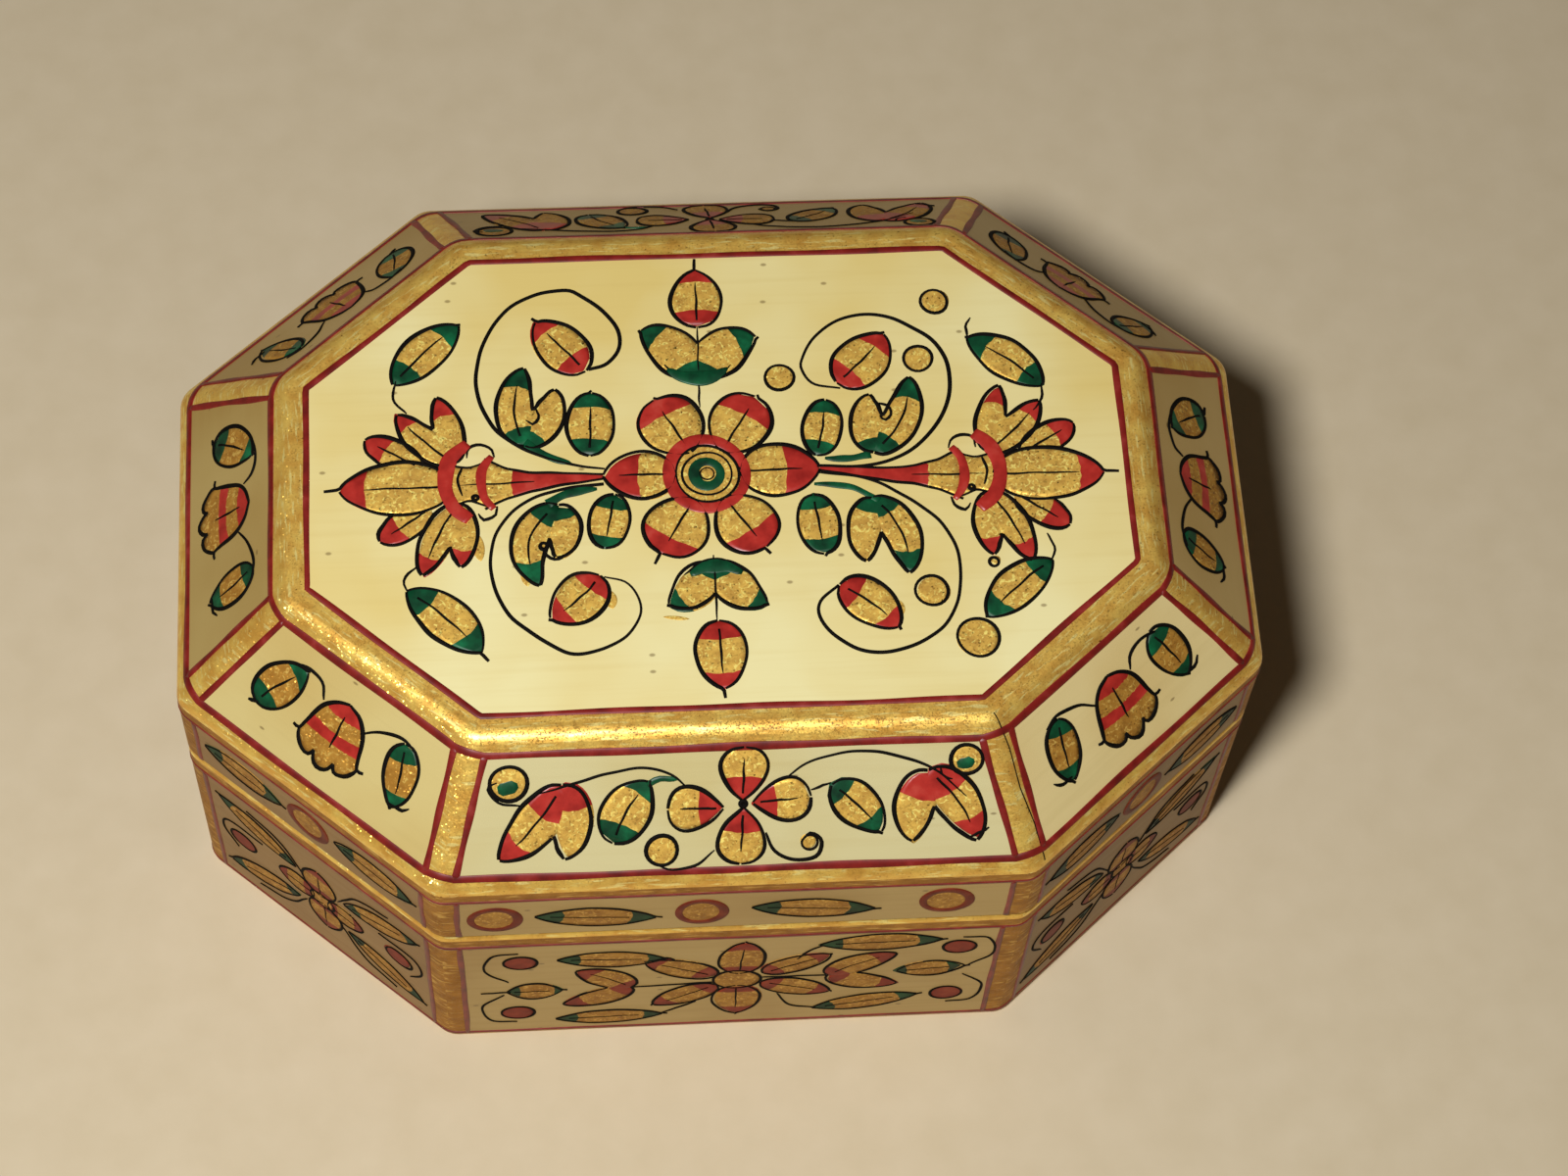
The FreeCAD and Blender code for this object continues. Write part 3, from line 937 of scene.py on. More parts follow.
@dataclass(frozen=True)
class SplitLeaf:
    """A leaf that parts into two lobes, the longer one painted at its tip."""

    base: Point
    long_tip: Point
    short_tip: Point
    width: float
    paint: Paint
    long_bend: float = 0.0
    short_bend: float = 0.0
    short_painted: bool = False
    base_painted: bool = True
    base_share: float = 0.2
    shortest_run: int = 5

    def draw(self, brush: Brush) -> None:
        """Fills both lobes, then outlines each where the other leaves it free."""
        base_paint = self.paint if self.base_painted else None
        short_paint = self.paint if self.short_painted else None
        short = Leaf(self.base, self.short_tip, 0.92 * self.width, self.short_bend, base_paint, short_paint,
                     self.base_share, 0.3, Shape.EGG, False, outline=False)
        long = Leaf(self.base, self.long_tip, self.width, self.long_bend, base_paint, self.paint,
                    self.base_share, 0.28, Shape.EGG, outline=False, crown=1.12 * FILL_CROWN)
        for lobe, other in ((short, long), (long, short)):
            lobe.draw(brush)
            for edge in lobe.edges()[:2]:
                run = outside(edge, other.loop())
                if len(run) > self.shortest_run:
                    brush.stroke(run, width=1.1 * brush.ink_mm, start=0.7, end=0.7, steady=True)


@dataclass(frozen=True)
class Dot:
    """A gold dot with an inked rim, and a dab of paint where it has one."""

    middle: Point
    radius: float
    paint: Paint = Paint.GOLD
    rim: Paint = Paint.INK
    rim_width: float | None = None
    stretch: float = 1.0
    dab: Paint | None = None

    def draw(self, brush: Brush) -> None:
        """Draws the fill, the dab and the rim."""
        x, y = self.middle
        tall = self.radius * self.stretch
        Leaf((x, y - tall), (x, y + tall), 2 * self.radius, shape=Shape.OVAL, vein=False, outline=False,
             tip_paint=None if self.paint is Paint.GOLD else self.paint, tip_share=0.97).draw(brush)
        if self.dab is not None:
            brush.stroke([(x - 0.6 * self.radius, y - 0.35 * tall), (x + 0.5 * self.radius, y - 0.1 * tall)],
                         width=0.9 * self.radius, paint=self.dab, crown=BAND_CROWN)
        brush.ring(self.middle, (self.radius, tall), self.rim_width or brush.ink_mm, self.rim)


@dataclass(frozen=True)
class Scroll:
    """A stem drawn in one sweep."""

    points: tuple[Point, ...]
    width: float | None = None
    paint: Paint = Paint.INK
    start: float = 0.45
    end: float = 0.4
    crown: float = INK_CROWN

    def draw(self, brush: Brush) -> None:
        """Draws the stem."""
        brush.stroke(self.points, self.width, self.paint, self.start, self.end, self.crown)


@dataclass(frozen=True)
class Stem:
    """A stem or cup that widens along its line, painted in zones and outlined on both sides."""

    line: tuple[Point, ...]
    halves: tuple[float, ...]
    zones: tuple[tuple[float, Paint], ...] = ((1.0, Paint.GOLD),)
    outline: float = 0.36
    crown: float = FILL_CROWN
    step_mm: float = 0.4

    def draw(self, brush: Brush) -> None:
        """Draws the fill, then its two edges."""
        axis = smooth(self.line, self.step_mm)
        legs = np.linalg.norm(np.diff(np.array(self.line), axis=0), axis=1)
        shares = np.concatenate([[0.0], np.cumsum(legs)]) / legs.sum()
        half = np.interp(np.linspace(0.0, 1.0, len(axis)), shares, self.halves)[:, None]
        side = leftward(unit(np.gradient(axis, axis=0)))
        brush.fill(axis - side * half, axis + side * half, self.zones, 0.02, self.crown)
        for way in BOTH_WAYS:
            brush.stroke(axis + way * side * half, self.outline, start=0.8, end=0.9, steady=True)


@dataclass(frozen=True)
class Bell:
    """A bell flower seen from the side: red cap, red band and a hem of three scallops."""

    middle: Point
    spread: float = 4.3
    hem_level: float = -2.4
    step_mm: float = 0.4

    def scallops(self, across: Array) -> Array:
        """How far the hem hangs, deepest in the middle."""
        local = 1.5 * (across + 1) % 1.0 * 2 - 1
        round_hem = np.sqrt(np.clip(1 - local**2, 0.0, 1.0)) * (1.6 - 0.5 * np.abs(across))
        return 1.2 * (1 - across**2) + round_hem

    def draw(self, brush: Brush) -> None:
        """Draws the bell, its hem and its two sides."""
        middle, hem = np.array(self.middle), (self.spread, self.hem_level)
        profile = np.array(((0.0, 3.8), (1.6, 3.2), (2.8, 2.0), (3.5, 0.4), (3.9, -1.2), hem))
        sides = [smooth(middle + profile * np.array((way, 1.0)), self.step_mm) for way in BOTH_WAYS]
        zones = [(0.4, Paint.RED), (0.66, Paint.GOLD), (0.86, Paint.RED), (1.0, Paint.GOLD)]
        brush.fill(sides[0], sides[1], zones, 0.07, 1.15 * FILL_CROWN, self.scallops)
        for lobe in (-1, 0, 1):
            across = np.linspace(-0.998, 0.998, 17) / 3 + lobe * 2 / 3
            drop = self.hem_level - self.scallops(across)
            brush.stroke(middle + np.stack([self.spread * across, drop], axis=1), 1.1 * brush.ink_mm,
                         start=0.7, end=0.7, steady=True)
        hooked = np.vstack([profile, [(self.spread + 0.9, self.hem_level + 0.1)]])
        for way in BOTH_WAYS:
            brush.stroke(middle + hooked * np.array((way, 1.0)), 1.15 * brush.ink_mm, start=0.6, end=0.6)
        brush.stroke(middle + np.array(((0.1, 2.2), (0.1, -2.2))), 0.7 * brush.ink_mm)


Motif = Leaf | SplitLeaf | Dot | Scroll | Stem | Bell


def ends(base: Point, tip: Point, width: float, paint: Paint, bend: float = 0.0, shape: Shape = Shape.ALMOND,
         spike: float = 0.3) -> Leaf:
    """A leaf painted at both ends.

    Args:
        base: Where it starts.
        tip: Where it ends.
        width: How wide it is.
        paint: The paint at both ends.
        bend: How far its middle line bows to the left.
        shape: How it closes.
        spike: How far the outline runs past the tip.

    Returns:
        The leaf.
    """
    return Leaf(base, tip, width, bend, paint, paint, shape=shape, spike=spike)


def petal(base: Point, tip: Point, width: float, share: float, spike: float = 0.3,
          behind: Leaf | None = None, shape: Shape = Shape.EGG) -> Leaf:
    """A petal with a red tip.

    Args:
        base: Where it leaves the flower.
        tip: Its outer end.
        width: How wide it is.
        share: How much of it is red.
        spike: How far the outline runs past the tip.
        behind: The petal that covers part of it.
        shape: How it closes.

    Returns:
        The petal.
    """
    return Leaf(base, tip, width, tip_paint=Paint.RED, tip_share=share, shape=shape, spike=spike, behind=behind)


@dataclass(frozen=True)
class LotusArm:
    """The arm of the top flower that ends in a lotus: red stem, gold cup, red bands and seven petals."""

    way: float
    root: Point
    shift: Point

    def run(self, *points: Point) -> tuple[Point, ...]:
        """Where points of the arm lie on the plate."""
        return tuple((self.way * (u + self.shift[0]), v + self.shift[1]) for u, v in points)

    def motifs(self) -> list[Motif]:
        """Lists what the arm is made of.

        Returns:
            The motifs in the order that they are painted.
        """
        w, red, run = self.way, Paint.RED, self.run
        heart = Leaf(*run((30.6, -0.5), (43.6, -0.6)), 6.9, tip_paint=red, tip_share=0.25, shape=Shape.EGG, spike=1.8,
                     crown=1.25 * FILL_CROWN)
        upper, lower = run((30.2, 2.6), (36.8, 9.2), (32.2, 11.4)), run((29.9, -2.8), (34.2, -11.9), (29.8, -11.0))
        neck = run((18.0, 0.0), (21.5, -0.2), (24.2, -0.3), (26.8, -0.3))
        return [
            petal(*run((34.0, 2.0), (40.6, 6.0)), 3.7, 0.4, 0.0, heart, Shape.OVAL),
            petal(*run((33.0, -3.2), (39.0, -7.4)), 3.8, 0.42, 0.0, heart, Shape.OVAL),
            SplitLeaf(*upper, 3.7, red, -0.4 * w, 0.3 * w, True, False),
            SplitLeaf(*lower, 3.7, red, 0.4 * w, -0.4 * w, True, False),
            heart,
            Stem(run((26.6, -0.3), (28.6, -0.3), (31.2, -0.4)), (2.9, 2.1, 2.9), crown=1.35 * FILL_CROWN, outline=0.3),
            Stem((self.root, *neck), (0.3, 0.8, 1.25, 1.95, 3.3), ((0.76, red), (1.0, Paint.GOLD)),
                 crown=1.2 * FILL_CROWN),
            Scroll(run((25.9, 3.3), (27.0, 1.7), (27.25, -0.2), (26.9, -2.0), (25.8, -3.6)), 1.2, red, 0.7, 0.6,
                   1.5 * BAND_CROWN),
            Scroll(run((28.7, 5.1), (30.7, 3.1), (31.4, -0.2), (30.6, -3.0), (28.6, -4.9)), 1.9, red, 0.75, 0.7,
                   1.6 * BAND_CROWN),
            Scroll(run((25.6, 3.2), (26.0, 4.3), (27.2, 4.9), (28.6, 4.5), (28.8, 3.2)), 0.4),
            Scroll(run((25.4, -3.3), (25.8, -4.5), (27.0, -5.0), (27.6, -4.2)), 0.42),
            Scroll(run((29.4, 1.9), (29.9, 0.1), (29.4, -1.8)), 0.5),
            Scroll(run((21.0, -0.2), (29.6, -0.4)), 0.28),
            Dot(*run((27.9, -2.1)), 0.3, Paint.INK),
        ]


@dataclass(frozen=True)
class TopFlower:
    """The top plate's ornament: a flower, a lotus arm to each end, sprays above and below, and four scrolls."""

    middle: Point = (-0.9, 0.1)

    def motifs(self) -> list[Motif]:
        """Lists the ornament, back to front.

        Returns:
            The motifs in the order that they are painted.
        """
        return [
            *self.petals(), *self.sprays(),
            *LotusArm(-1.0, (-13.0, 0.2), (0.0, 0.0)).motifs(), *LotusArm(1.0, (12.3, 0.4), (2.0, -0.7)).motifs(),
            *self.smudges(), *self.scrolls(), *self.leaves(), *self.dots(), *self.eye(),
        ]

    def petals(self) -> list[Motif]:
        """Lists the flower's six petals."""
        shape = Shape.PETAL
        return [
            petal((-4.6, 0.2), (-13.0, 0.3), 6.2, 0.5, 0.0), petal((3.0, 0.3), (12.3, 0.4), 6.9, 0.46, 0.0),
            petal((-2.7, 3.0), (-6.6, 10.2), 7.6, 0.34, shape=shape),
            petal((1.0, 3.0), (5.4, 10.2), 7.2, 0.36, shape=shape),
            petal((-2.6, -3.2), (-6.7, -10.1), 7.6, 0.34, 1.6, shape=shape),
            petal((1.0, -3.2), (5.4, -9.8), 7.3, 0.38, 1.0, shape=shape),
        ]

    def sprays(self) -> list[Motif]:
        """Lists the sprays above and below the flower."""
        red, green = Paint.RED, Paint.GREEN
        return [
            Scroll(((-1.3, 9.0), (-1.3, 13.0)), 0.28),
            *self.pair(((-2.0, 13.0), (-7.8, 19.6), 5.6, -1.0), ((-0.6, 13.0), (5.8, 18.3), 5.8, 1.2)),
            Scroll(((-4.9, 14.3), (-3.2, 13.2), (-1.2, 12.9), (0.6, 13.2), (2.2, 14.2)), 1.9, green, 0.2, 0.2,
                   1.6 * BAND_CROWN),
            Scroll(((-5.2, 14.9), (-3.4, 12.8), (-1.2, 12.2), (0.9, 12.8), (2.6, 14.6)), 0.36),
            Scroll(((-1.2, 14.0), (-1.1, 20.0)), 0.26),
            ends((-1.1, 19.9), (-1.0, 27.8), 6.1, red, 0.0, Shape.EGG, 1.6),
            *self.pair(((-0.2, -11.4), (5.1, -17.0), 4.7, -0.9), ((-1.2, -11.4), (-6.1, -16.7), 4.7, 0.8)),
            Scroll(((-3.5, -13.0), (-2.0, -12.2), (-0.7, -12.0), (1.0, -12.2), (2.5, -13.0)), 1.8, green, 0.3, 0.3,
                   1.3 * BAND_CROWN),
            Scroll(((-4.2, -13.0), (-2.2, -11.5), (-0.7, -11.1), (0.9, -11.5), (3.2, -13.0)), 0.36),
            Scroll(((-0.7, -10.6), (-0.7, -19.0)), 0.3),
            ends((-0.6, -19.0), (-0.3, -27.6), 5.9, red, 0.0, Shape.EGG, 1.2),
        ]

    def pair(self, *leaves: tuple[Point, Point, float, float]) -> list[Motif]:
        """Two green-tipped leaves that spread from one stem.

        Args:
            leaves: Each leaf's base, tip, width and bend.

        Returns:
            Both leaves, each outlined only where it is free of the other.
        """
        green = Paint.GREEN
        left, right = (Leaf(*leaf, green, green, 0.18, 0.26, Shape.EGG, False, 0.3) for leaf in leaves)
        return [replace(left, behind=right), replace(right, behind=left)]

    def smudges(self) -> list[Motif]:
        """Lists the gold that strayed past the outlines."""
        places = (((-28.2, -6.6), (-27.6, -10.4), 1.5), ((-12.9, -14.6), (-12.5, -17.0), 1.5),
                  ((-22.6, -11.4), (-22.0, -13.6), 1.0), ((20.3, -17.2), (20.7, -19.0), 0.9),
                  ((-7.0, -18.4), (-4.0, -18.8), 0.5), ((12.2, 6.8), (14.6, 7.8), 0.5))
        return [Leaf(*place, vein=False, outline=False, crown=0.3 * FILL_CROWN) for place in places]

    def scrolls(self) -> list[Motif]:
        """Lists the four big scrolls and the buds that they carry."""
        red = Paint.RED
        return [
            Scroll(((-12.8, 1.2), (-15.7, 1.7), (-19.0, 2.7), (-22.3, 4.3), (-25.2, 6.7), (-26.8, 9.7), (-27.5, 12.7),
                    (-27.2, 16.0), (-26.0, 19.7), (-23.7, 23.0), (-20.3, 25.0), (-16.7, 25.6), (-14.7, 24.7),
                    (-12.0, 22.3), (-10.5, 19.7), (-10.5, 17.3), (-12.0, 15.3), (-14.2, 14.6)), 0.5, end=0.8),
            ends((-14.5, 14.4), (-20.2, 21.2), 5.7, red, 0.0, Shape.EGG, 0.8),
            Scroll(((-13.0, -0.8), (-17.2, -1.2), (-21.1, -2.3), (-23.9, -4.3), (-25.8, -7.3), (-26.4, -11.0),
                    (-25.8, -14.3), (-24.3, -17.5), (-21.6, -20.0), (-17.6, -22.5), (-14.3, -22.2), (-11.3, -20.7),
                    (-9.6, -18.3), (-9.5, -16.0), (-10.9, -13.7), (-13.4, -12.9)), 0.44, start=0.9),
            ends((-13.9, -12.7), (-19.7, -18.0), 5.8, red, 0.5, Shape.EGG),
            Scroll(((12.0, 0.7), (17.7, 0.5), (22.0, 1.7), (25.3, 4.3), (27.7, 8.0), (28.5, 11.7), (28.0, 15.0),
                    (26.3, 17.7), (22.3, 20.3), (19.0, 21.0), (15.7, 20.3), (12.7, 18.0), (11.2, 15.3), (11.0, 13.7),
                    (12.3, 11.7), (15.4, 11.0)), 0.48, start=0.9),
            ends((15.0, 11.8), (21.0, 18.2), 6.2, red, -0.4, Shape.EGG),
            Scroll(((12.2, -0.2), (17.7, -1.2), (22.0, -3.7), (25.7, -7.0), (27.5, -10.7), (27.7, -14.0),
                    (27.0, -17.7), (25.0, -21.0), (21.0, -23.2), (16.7, -23.7), (13.3, -22.0), (11.2, -19.3),
                    (11.3, -17.0), (13.5, -15.0)), 0.44, end=0.8),
            ends((13.6, -15.0), (20.0, -20.6), 5.4, red, 0.5, Shape.EGG, 0.5),
        ]

    def leaves(self) -> list[Motif]:
        """Lists the leaves by the stems and the four outer ones."""
        green = Paint.GREEN
        return [
            Scroll(((-16.6, 2.0), (-19.2, 3.0), (-22.0, 5.0)), 1.0, green, 0.2, 1.2, BAND_CROWN),
            SplitLeaf((-22.0, 4.6), (-21.8, 15.0), (-18.3, 12.0), 4.3, green, 1.2, -0.8),
            Scroll(((-20.6, 9.6), (-20.2, 8.4), (-21.0, 7.4), (-21.8, 8.0)), 0.42),
            ends((-14.5, 3.0), (-14.0, 11.4), 5.5, green, 0.0, Shape.OVAL),
            Scroll(((-13.8, -1.4), (-17.0, -1.8), (-19.6, -3.2)), 1.1, green, 0.4, 1.1, BAND_CROWN),
            SplitLeaf((-18.4, -3.4), (-20.8, -13.7), (-18.8, -10.2), 4.2, green, -2.3, 0.9),
            Scroll(((-17.3, -9.6), (-18.5, -10.4), (-19.8, -10.0), (-20.3, -9.0)), 0.42),
            Dot((-20.2, -8.7), 0.42, Paint.INK),
            ends((-11.8, -2.2), (-13.2, -9.2), 4.7, green, 0.0, Shape.OVAL, 0.0),
            ends((12.0, 2.1), (13.5, 9.5), 4.6, green, -0.2, Shape.OVAL, 0.0),
            Scroll(((13.0, 1.7), (15.6, 1.5), (18.4, 2.0)), 0.9, green, 0.4, 1.1, BAND_CROWN),
            SplitLeaf((18.8, 2.3), (23.6, 12.2), (18.8, 10.0), 4.3, green, -1.3, 0.6),
            Scroll(((19.8, 8.8), (20.9, 8.3), (21.2, 7.2), (20.4, 6.5), (19.8, 7.1)), 0.42),
            ends((11.3, -3.1), (12.2, -10.9), 4.9, green, 0.0, Shape.OVAL),
            Scroll(((11.5, -1.7), (15.7, -2.2), (19.0, -4.2)), 0.8, green, 0.5, 0.9, BAND_CROWN),
            SplitLeaf((18.2, -3.8), (21.8, -13.7), (17.0, -12.0), 4.3, green, 1.3, -0.6),
            Scroll(((-36.9, 13.8), (-37.2, 11.3), (-35.7, 9.4)), 0.34),
            ends((-37.2, 13.3), (-29.4, 21.1), 5.0, green, 0.4),
            Scroll(((-35.9, -14.0), (-36.3, -12.3), (-34.7, -10.6)), 0.34),
            ends((-36.0, -13.9), (-27.7, -22.0), 5.3, green, 0.5, spike=1.4),
            Scroll(((39.3, 10.8), (39.2, 8.8), (38.0, 7.2)), 0.34),
            Scroll(((31.0, 17.4), (31.0, 19.0), (31.6, 20.1)), 0.36),
            ends((39.4, 10.5), (31.0, 17.3), 5.0, green, -0.5),
            Scroll(((38.4, -12.8), (38.9, -11.3), (38.2, -9.2)), 0.3),
            ends((38.5, -12.7), (30.4, -19.7), 4.8, green, -0.4, spike=0.2),
        ]

    def dots(self) -> list[Motif]:
        """Lists the gold dots on the right half."""
        places = (((27.4, 22.5), 1.6), ((24.9, 14.7), 1.7), ((8.3, 12.7), 1.7), ((24.2, -16.1), 1.9),
                  ((29.1, -22.3), 2.4), ((31.7, -12.7), 0.55))
        return [Dot(*place, rim_width=0.4) for place in places]

    def eye(self) -> list[Motif]:
        """Lists the rings at the flower's middle, widest first."""
        rings = ((4.5, Paint.RED, 1.45), (3.7, Paint.INK, 0.36), (2.85, Paint.INK, 0.3), (1.6, Paint.GREEN, 1.25),
                 (0.8, Paint.INK, 0.22))
        return [Dot(self.middle, radius, rim=paint, rim_width=width) for radius, paint, width in rings]


@dataclass(frozen=True)
class LongBevelFlower:
    """The front and back slopes' ornament: a four-petalled flower between leaves and split leaves."""

    def motifs(self) -> list[Motif]:
        """Lists the ornament, back to front.

        Returns:
            The motifs in the order that they are painted.
        """
        red, green = Paint.RED, Paint.GREEN
        petals = (((0.8, 1.0), (1.2, 7.4), 5.4), ((0.9, 0.0), (0.4, -6.8), 5.4),
                  ((-1.4, 0.1), (-7.7, 0.2), 5.4), ((2.0, 0.6), (8.6, 1.1), 5.2))
        return [
            *(Leaf(*place, base_paint=red, base_share=0.4, shape=Shape.DROP) for place in petals),
            Dot((0.9, 0.5), 0.35, Paint.INK),
            ends((-14.0, -3.7), (-9.8, 3.6), 5.6, green, 0.5, Shape.EGG),
            Scroll(((-10.0, 3.3), (-8.4, 3.9), (-6.4, 3.8)), 0.8, green, 0.8, 0.2, BAND_CROWN),
            ends((11.0, 2.4), (16.6, -3.5), 4.8, green, 0.4, Shape.EGG),
            SplitLeaf((-19.6, 3.6), (-27.0, -5.2), (-19.6, -5.4), 5.0, red, 0.6, 0.9, base_share=0.34),
            SplitLeaf((22.0, 3.7), (27.6, -5.0), (20.2, -4.8), 5.0, red, 0.8, -0.7, base_share=0.34),
            Scroll(((26.8, -4.6), (28.3, -3.9), (29.0, -3.5)), 0.4),
            Dot((-25.6, 4.0), 2.1, dab=green), Dot((26.4, 4.9), 1.8, dab=green),
            Scroll(((-26.9, 4.2), (-28.0, 3.6), (-26.8, 1.7), (-24.4, 1.3)), 0.36),
            Scroll(((23.4, 4.2), (23.7, 3.0), (24.8, 2.6)), 0.32),
            Dot((-8.5, -4.8), 1.8),
            Scroll(((-9.2, -6.5), (-7.2, -7.2), (-4.5, -6.7), (-2.5, -5.0)), 0.34),
            Dot((8.4, -4.5), 0.9, rim_width=0.3),
            Scroll(((3.4, -3.1), (4.4, -5.4), (6.7, -6.6), (9.2, -6.2), (9.8, -4.4), (8.5, -3.3), (7.4, -4.4))),
            Scroll(((-5.6, 2.9), (-7.2, 4.4), (-10.2, 5.3), (-14.5, 4.8), (-19.0, 3.5), (-22.2, 2.7)), 0.36),
            Scroll(((6.1, 3.7), (8.2, 5.2), (12.0, 6.2), (15.9, 6.3), (19.8, 5.2), (23.2, 3.5), (26.4, 0.4)), 0.36),
            Scroll(((8.6, 1.9), (10.9, 2.7)), 0.32),
        ]


@dataclass(frozen=True)
class ShortBevelFlower:
    """The other slopes' ornament: a bell flower between two leaves on arched stems."""

    upright: bool
    bell: Point = (-0.5, 0.0)

    def motifs(self) -> list[Motif]:
        """Lists the ornament, back to front.

        Returns:
            The motifs in the order that they are painted.
        """
        green, shape = Paint.GREEN, Shape.EGG
        if self.upright:
            far = [ends((-7.8, 4.3), (-9.8, -3.3), 4.8, green, -0.3, shape),
                   Scroll(((-9.6, -3.0), (-11.2, -2.9), (-12.1, -2.1)), 0.44)]
        else:
            far = [ends((-10.8, -2.9), (-6.7, 4.1), 5.0, green, 0.4, shape),
                   Scroll(((-10.6, -2.7), (-11.9, -3.1)), 0.5, end=0.6)]
        return far + [
            Scroll(((-8.5, 4.0), (-6.4, 4.5), (-4.2, 3.9), (-2.8 + self.bell[0], 2.4)), 0.44),
            Bell(self.bell),
            ends((7.8, 4.3), (9.8, -3.3), 4.4, green, 0.3, shape),
            Scroll(((9.6, -3.0), (11.2, -2.9), (12.1, -2.1)), 0.44),
            Scroll(((2.9 + self.bell[0], 1.8), (4.6, 3.6), (7.4, 4.5), (9.6, 4.0)), 0.42),
        ]


@dataclass(frozen=True)
class SkirtBand:
    """The lid's upright band: red-ringed gold ovals and slender leaves in turn."""

    ovals: tuple[Point, ...]
    leaves: tuple[tuple[Point, Point], ...]

    def motifs(self) -> list[Motif]:
        """Lists the ornament, back to front.

        Returns:
            The motifs in the order that they are painted.
        """
        green = Paint.GREEN
        return [
            *(Dot(oval, 2.7, rim=Paint.LINE, rim_width=1.05, stretch=1.15) for oval in self.ovals),
            *(Leaf(*leaf, 5.4, 0.0, green, green, 0.2, 0.24, Shape.SLENDER, True, 0.8) for leaf in self.leaves),
        ]


LONG_SKIRT = SkirtBand(((-27.9, -0.3), (-3.9, -0.3), (24.7, 0.2)),
                       (((-23.2, 0.1), (-9.2, -1.4)), ((2.0, 0.4), (16.4, -1.4))))
SHORT_SKIRT = SkirtBand(((0.0, 0.0),), (((-15.8, 0.4), (-4.2, -0.6)), ((4.2, 0.4), (15.8, -0.6))))


@dataclass(frozen=True)
class LongBaseFlower:
    """The front and back walls' ornament: a six-petalled flower, tulips, leaves and ringed dots."""

    def motifs(self) -> list[Motif]:
        """Lists the ornament, back to front.

        Returns:
            The motifs in the order that they are painted.
        """
        red, green = Paint.RED, Paint.GREEN
        petals = (((1.1, 2.4), (1.6, 12.5), 5.6), ((0.9, -1.6), (1.0, -11.3), 5.9), ((-1.6, 1.8), (-10.2, 7.5), 5.0),
                  ((-1.6, -1.2), (-9.2, -7.2), 5.0), ((4.0, 2.2), (12.0, 7.5), 4.6), ((3.9, -0.8), (12.4, -4.9), 5.0))
        leaves = (((-20.8, 9.2), (-7.9, 8.4), 4.8), ((10.6, 10.8), (25.2, 11.1), 5.0),
                  ((-21.2, -10.8), (-8.1, -10.4), 4.3), ((10.6, -10.6), (23.4, -7.1), 4.5),
                  ((-27.0, -0.9), (-20.4, -0.8), 5.2), ((20.4, 1.1), (28.6, 2.0), 4.8))
        drawn: list[Motif] = [
            *(Leaf(*place, 0.0, red, red, 0.22, 0.26, Shape.EGG, spike=0.3) for place in petals),
            Dot((0.9, 0.4), 2.9),
            *(Leaf(*place, 0.0, green, green, 0.18, 0.2, Shape.SLENDER, spike=0.7) for place in leaves),
            SplitLeaf((-12.0, -0.8), (-18.6, 5.2), (-20.2, -5.8), 5.0, red, -0.6, 0.6, True),
            SplitLeaf((12.0, 0.6), (20.0, 7.0), (20.6, -3.0), 5.0, red, 0.6, -0.6, True),
            Scroll(((-2.0, -0.2), (-12.0, -0.8)), 0.28), Scroll(((4.0, 0.8), (12.0, 0.6)), 0.28),
            Scroll(((-26.6, -0.9), (-30.2, -1.0)), 0.28),
            Scroll(((-10.0, 7.0), (-8.0, 8.6), (-6.6, 7.6)), 0.32),
            Scroll(((8.0, 6.4), (9.4, 9.0), (11.0, 10.6)), 0.32),
            Scroll(((-8.2, -10.2), (-6.0, -8.4), (-4.0, -6.6)), 0.32),
            Scroll(((6.0, -5.0), (7.6, -9.0), (11.0, -10.6)), 0.32),
        ]
        for x, y in ((-25.2, 8.7), (-25.8, -8.0), (27.5, 8.4), (27.0, -7.1)):
            hook = ((1.6, -6.2), (4.3, -2.4), (3.4, 2.4), (0.2, 3.1))
            curl = tuple((x + math.copysign(u, x), y + v * math.copysign(1.0, y)) for u, v in hook)
            drawn += [Dot((x, y), 2.0, red, rim_width=0.34), Scroll(curl, 0.32)]
        return drawn


@dataclass(frozen=True)
class ShortBaseFlower:
    """The other walls' ornament: a cross-shaped flower, four slender leaves and dots at the ends."""

    def motifs(self) -> list[Motif]:
        """Lists the ornament, back to front.

        Returns:
            The motifs in the order that they are painted.
        """
        red, green = Paint.RED, Paint.GREEN
        drawn: list[Motif] = []
        for x, y in ((0.0, 1.0), (0.0, -1.0), (1.0, 0.0), (-1.0, 0.0)):
            drawn.append(Leaf((1.2 * x, 1.2 * y), (6.8 * x, 8.6 * y), 5.2, 0.0, red, red, 0.24, 0.3, Shape.EGG))
        drawn.append(Dot((0.0, 0.0), 1.9))
        for x in BOTH_WAYS:
            for y in BOTH_WAYS:
                drawn += [
                    Leaf((4.0 * x, 4.6 * y), (15.6 * x, 10.0 * y), 4.4, 0.0, green, green, 0.16, 0.2, Shape.SLENDER,
                         spike=0.7),
                    Scroll(((2.6 * x, 4.0 * y), (6.0 * x, 9.6 * y), (11.0 * x, 11.6 * y)), 0.3),
                ]
            drawn += [
                Dot((12.4 * x, 0.0), 2.0, red, rim_width=0.34),
                Scroll(((9.0 * x, 3.6), (14.4 * x, 3.4), (15.6 * x, 0.0), (13.6 * x, -3.6)), 0.32),
            ]
        return drawn


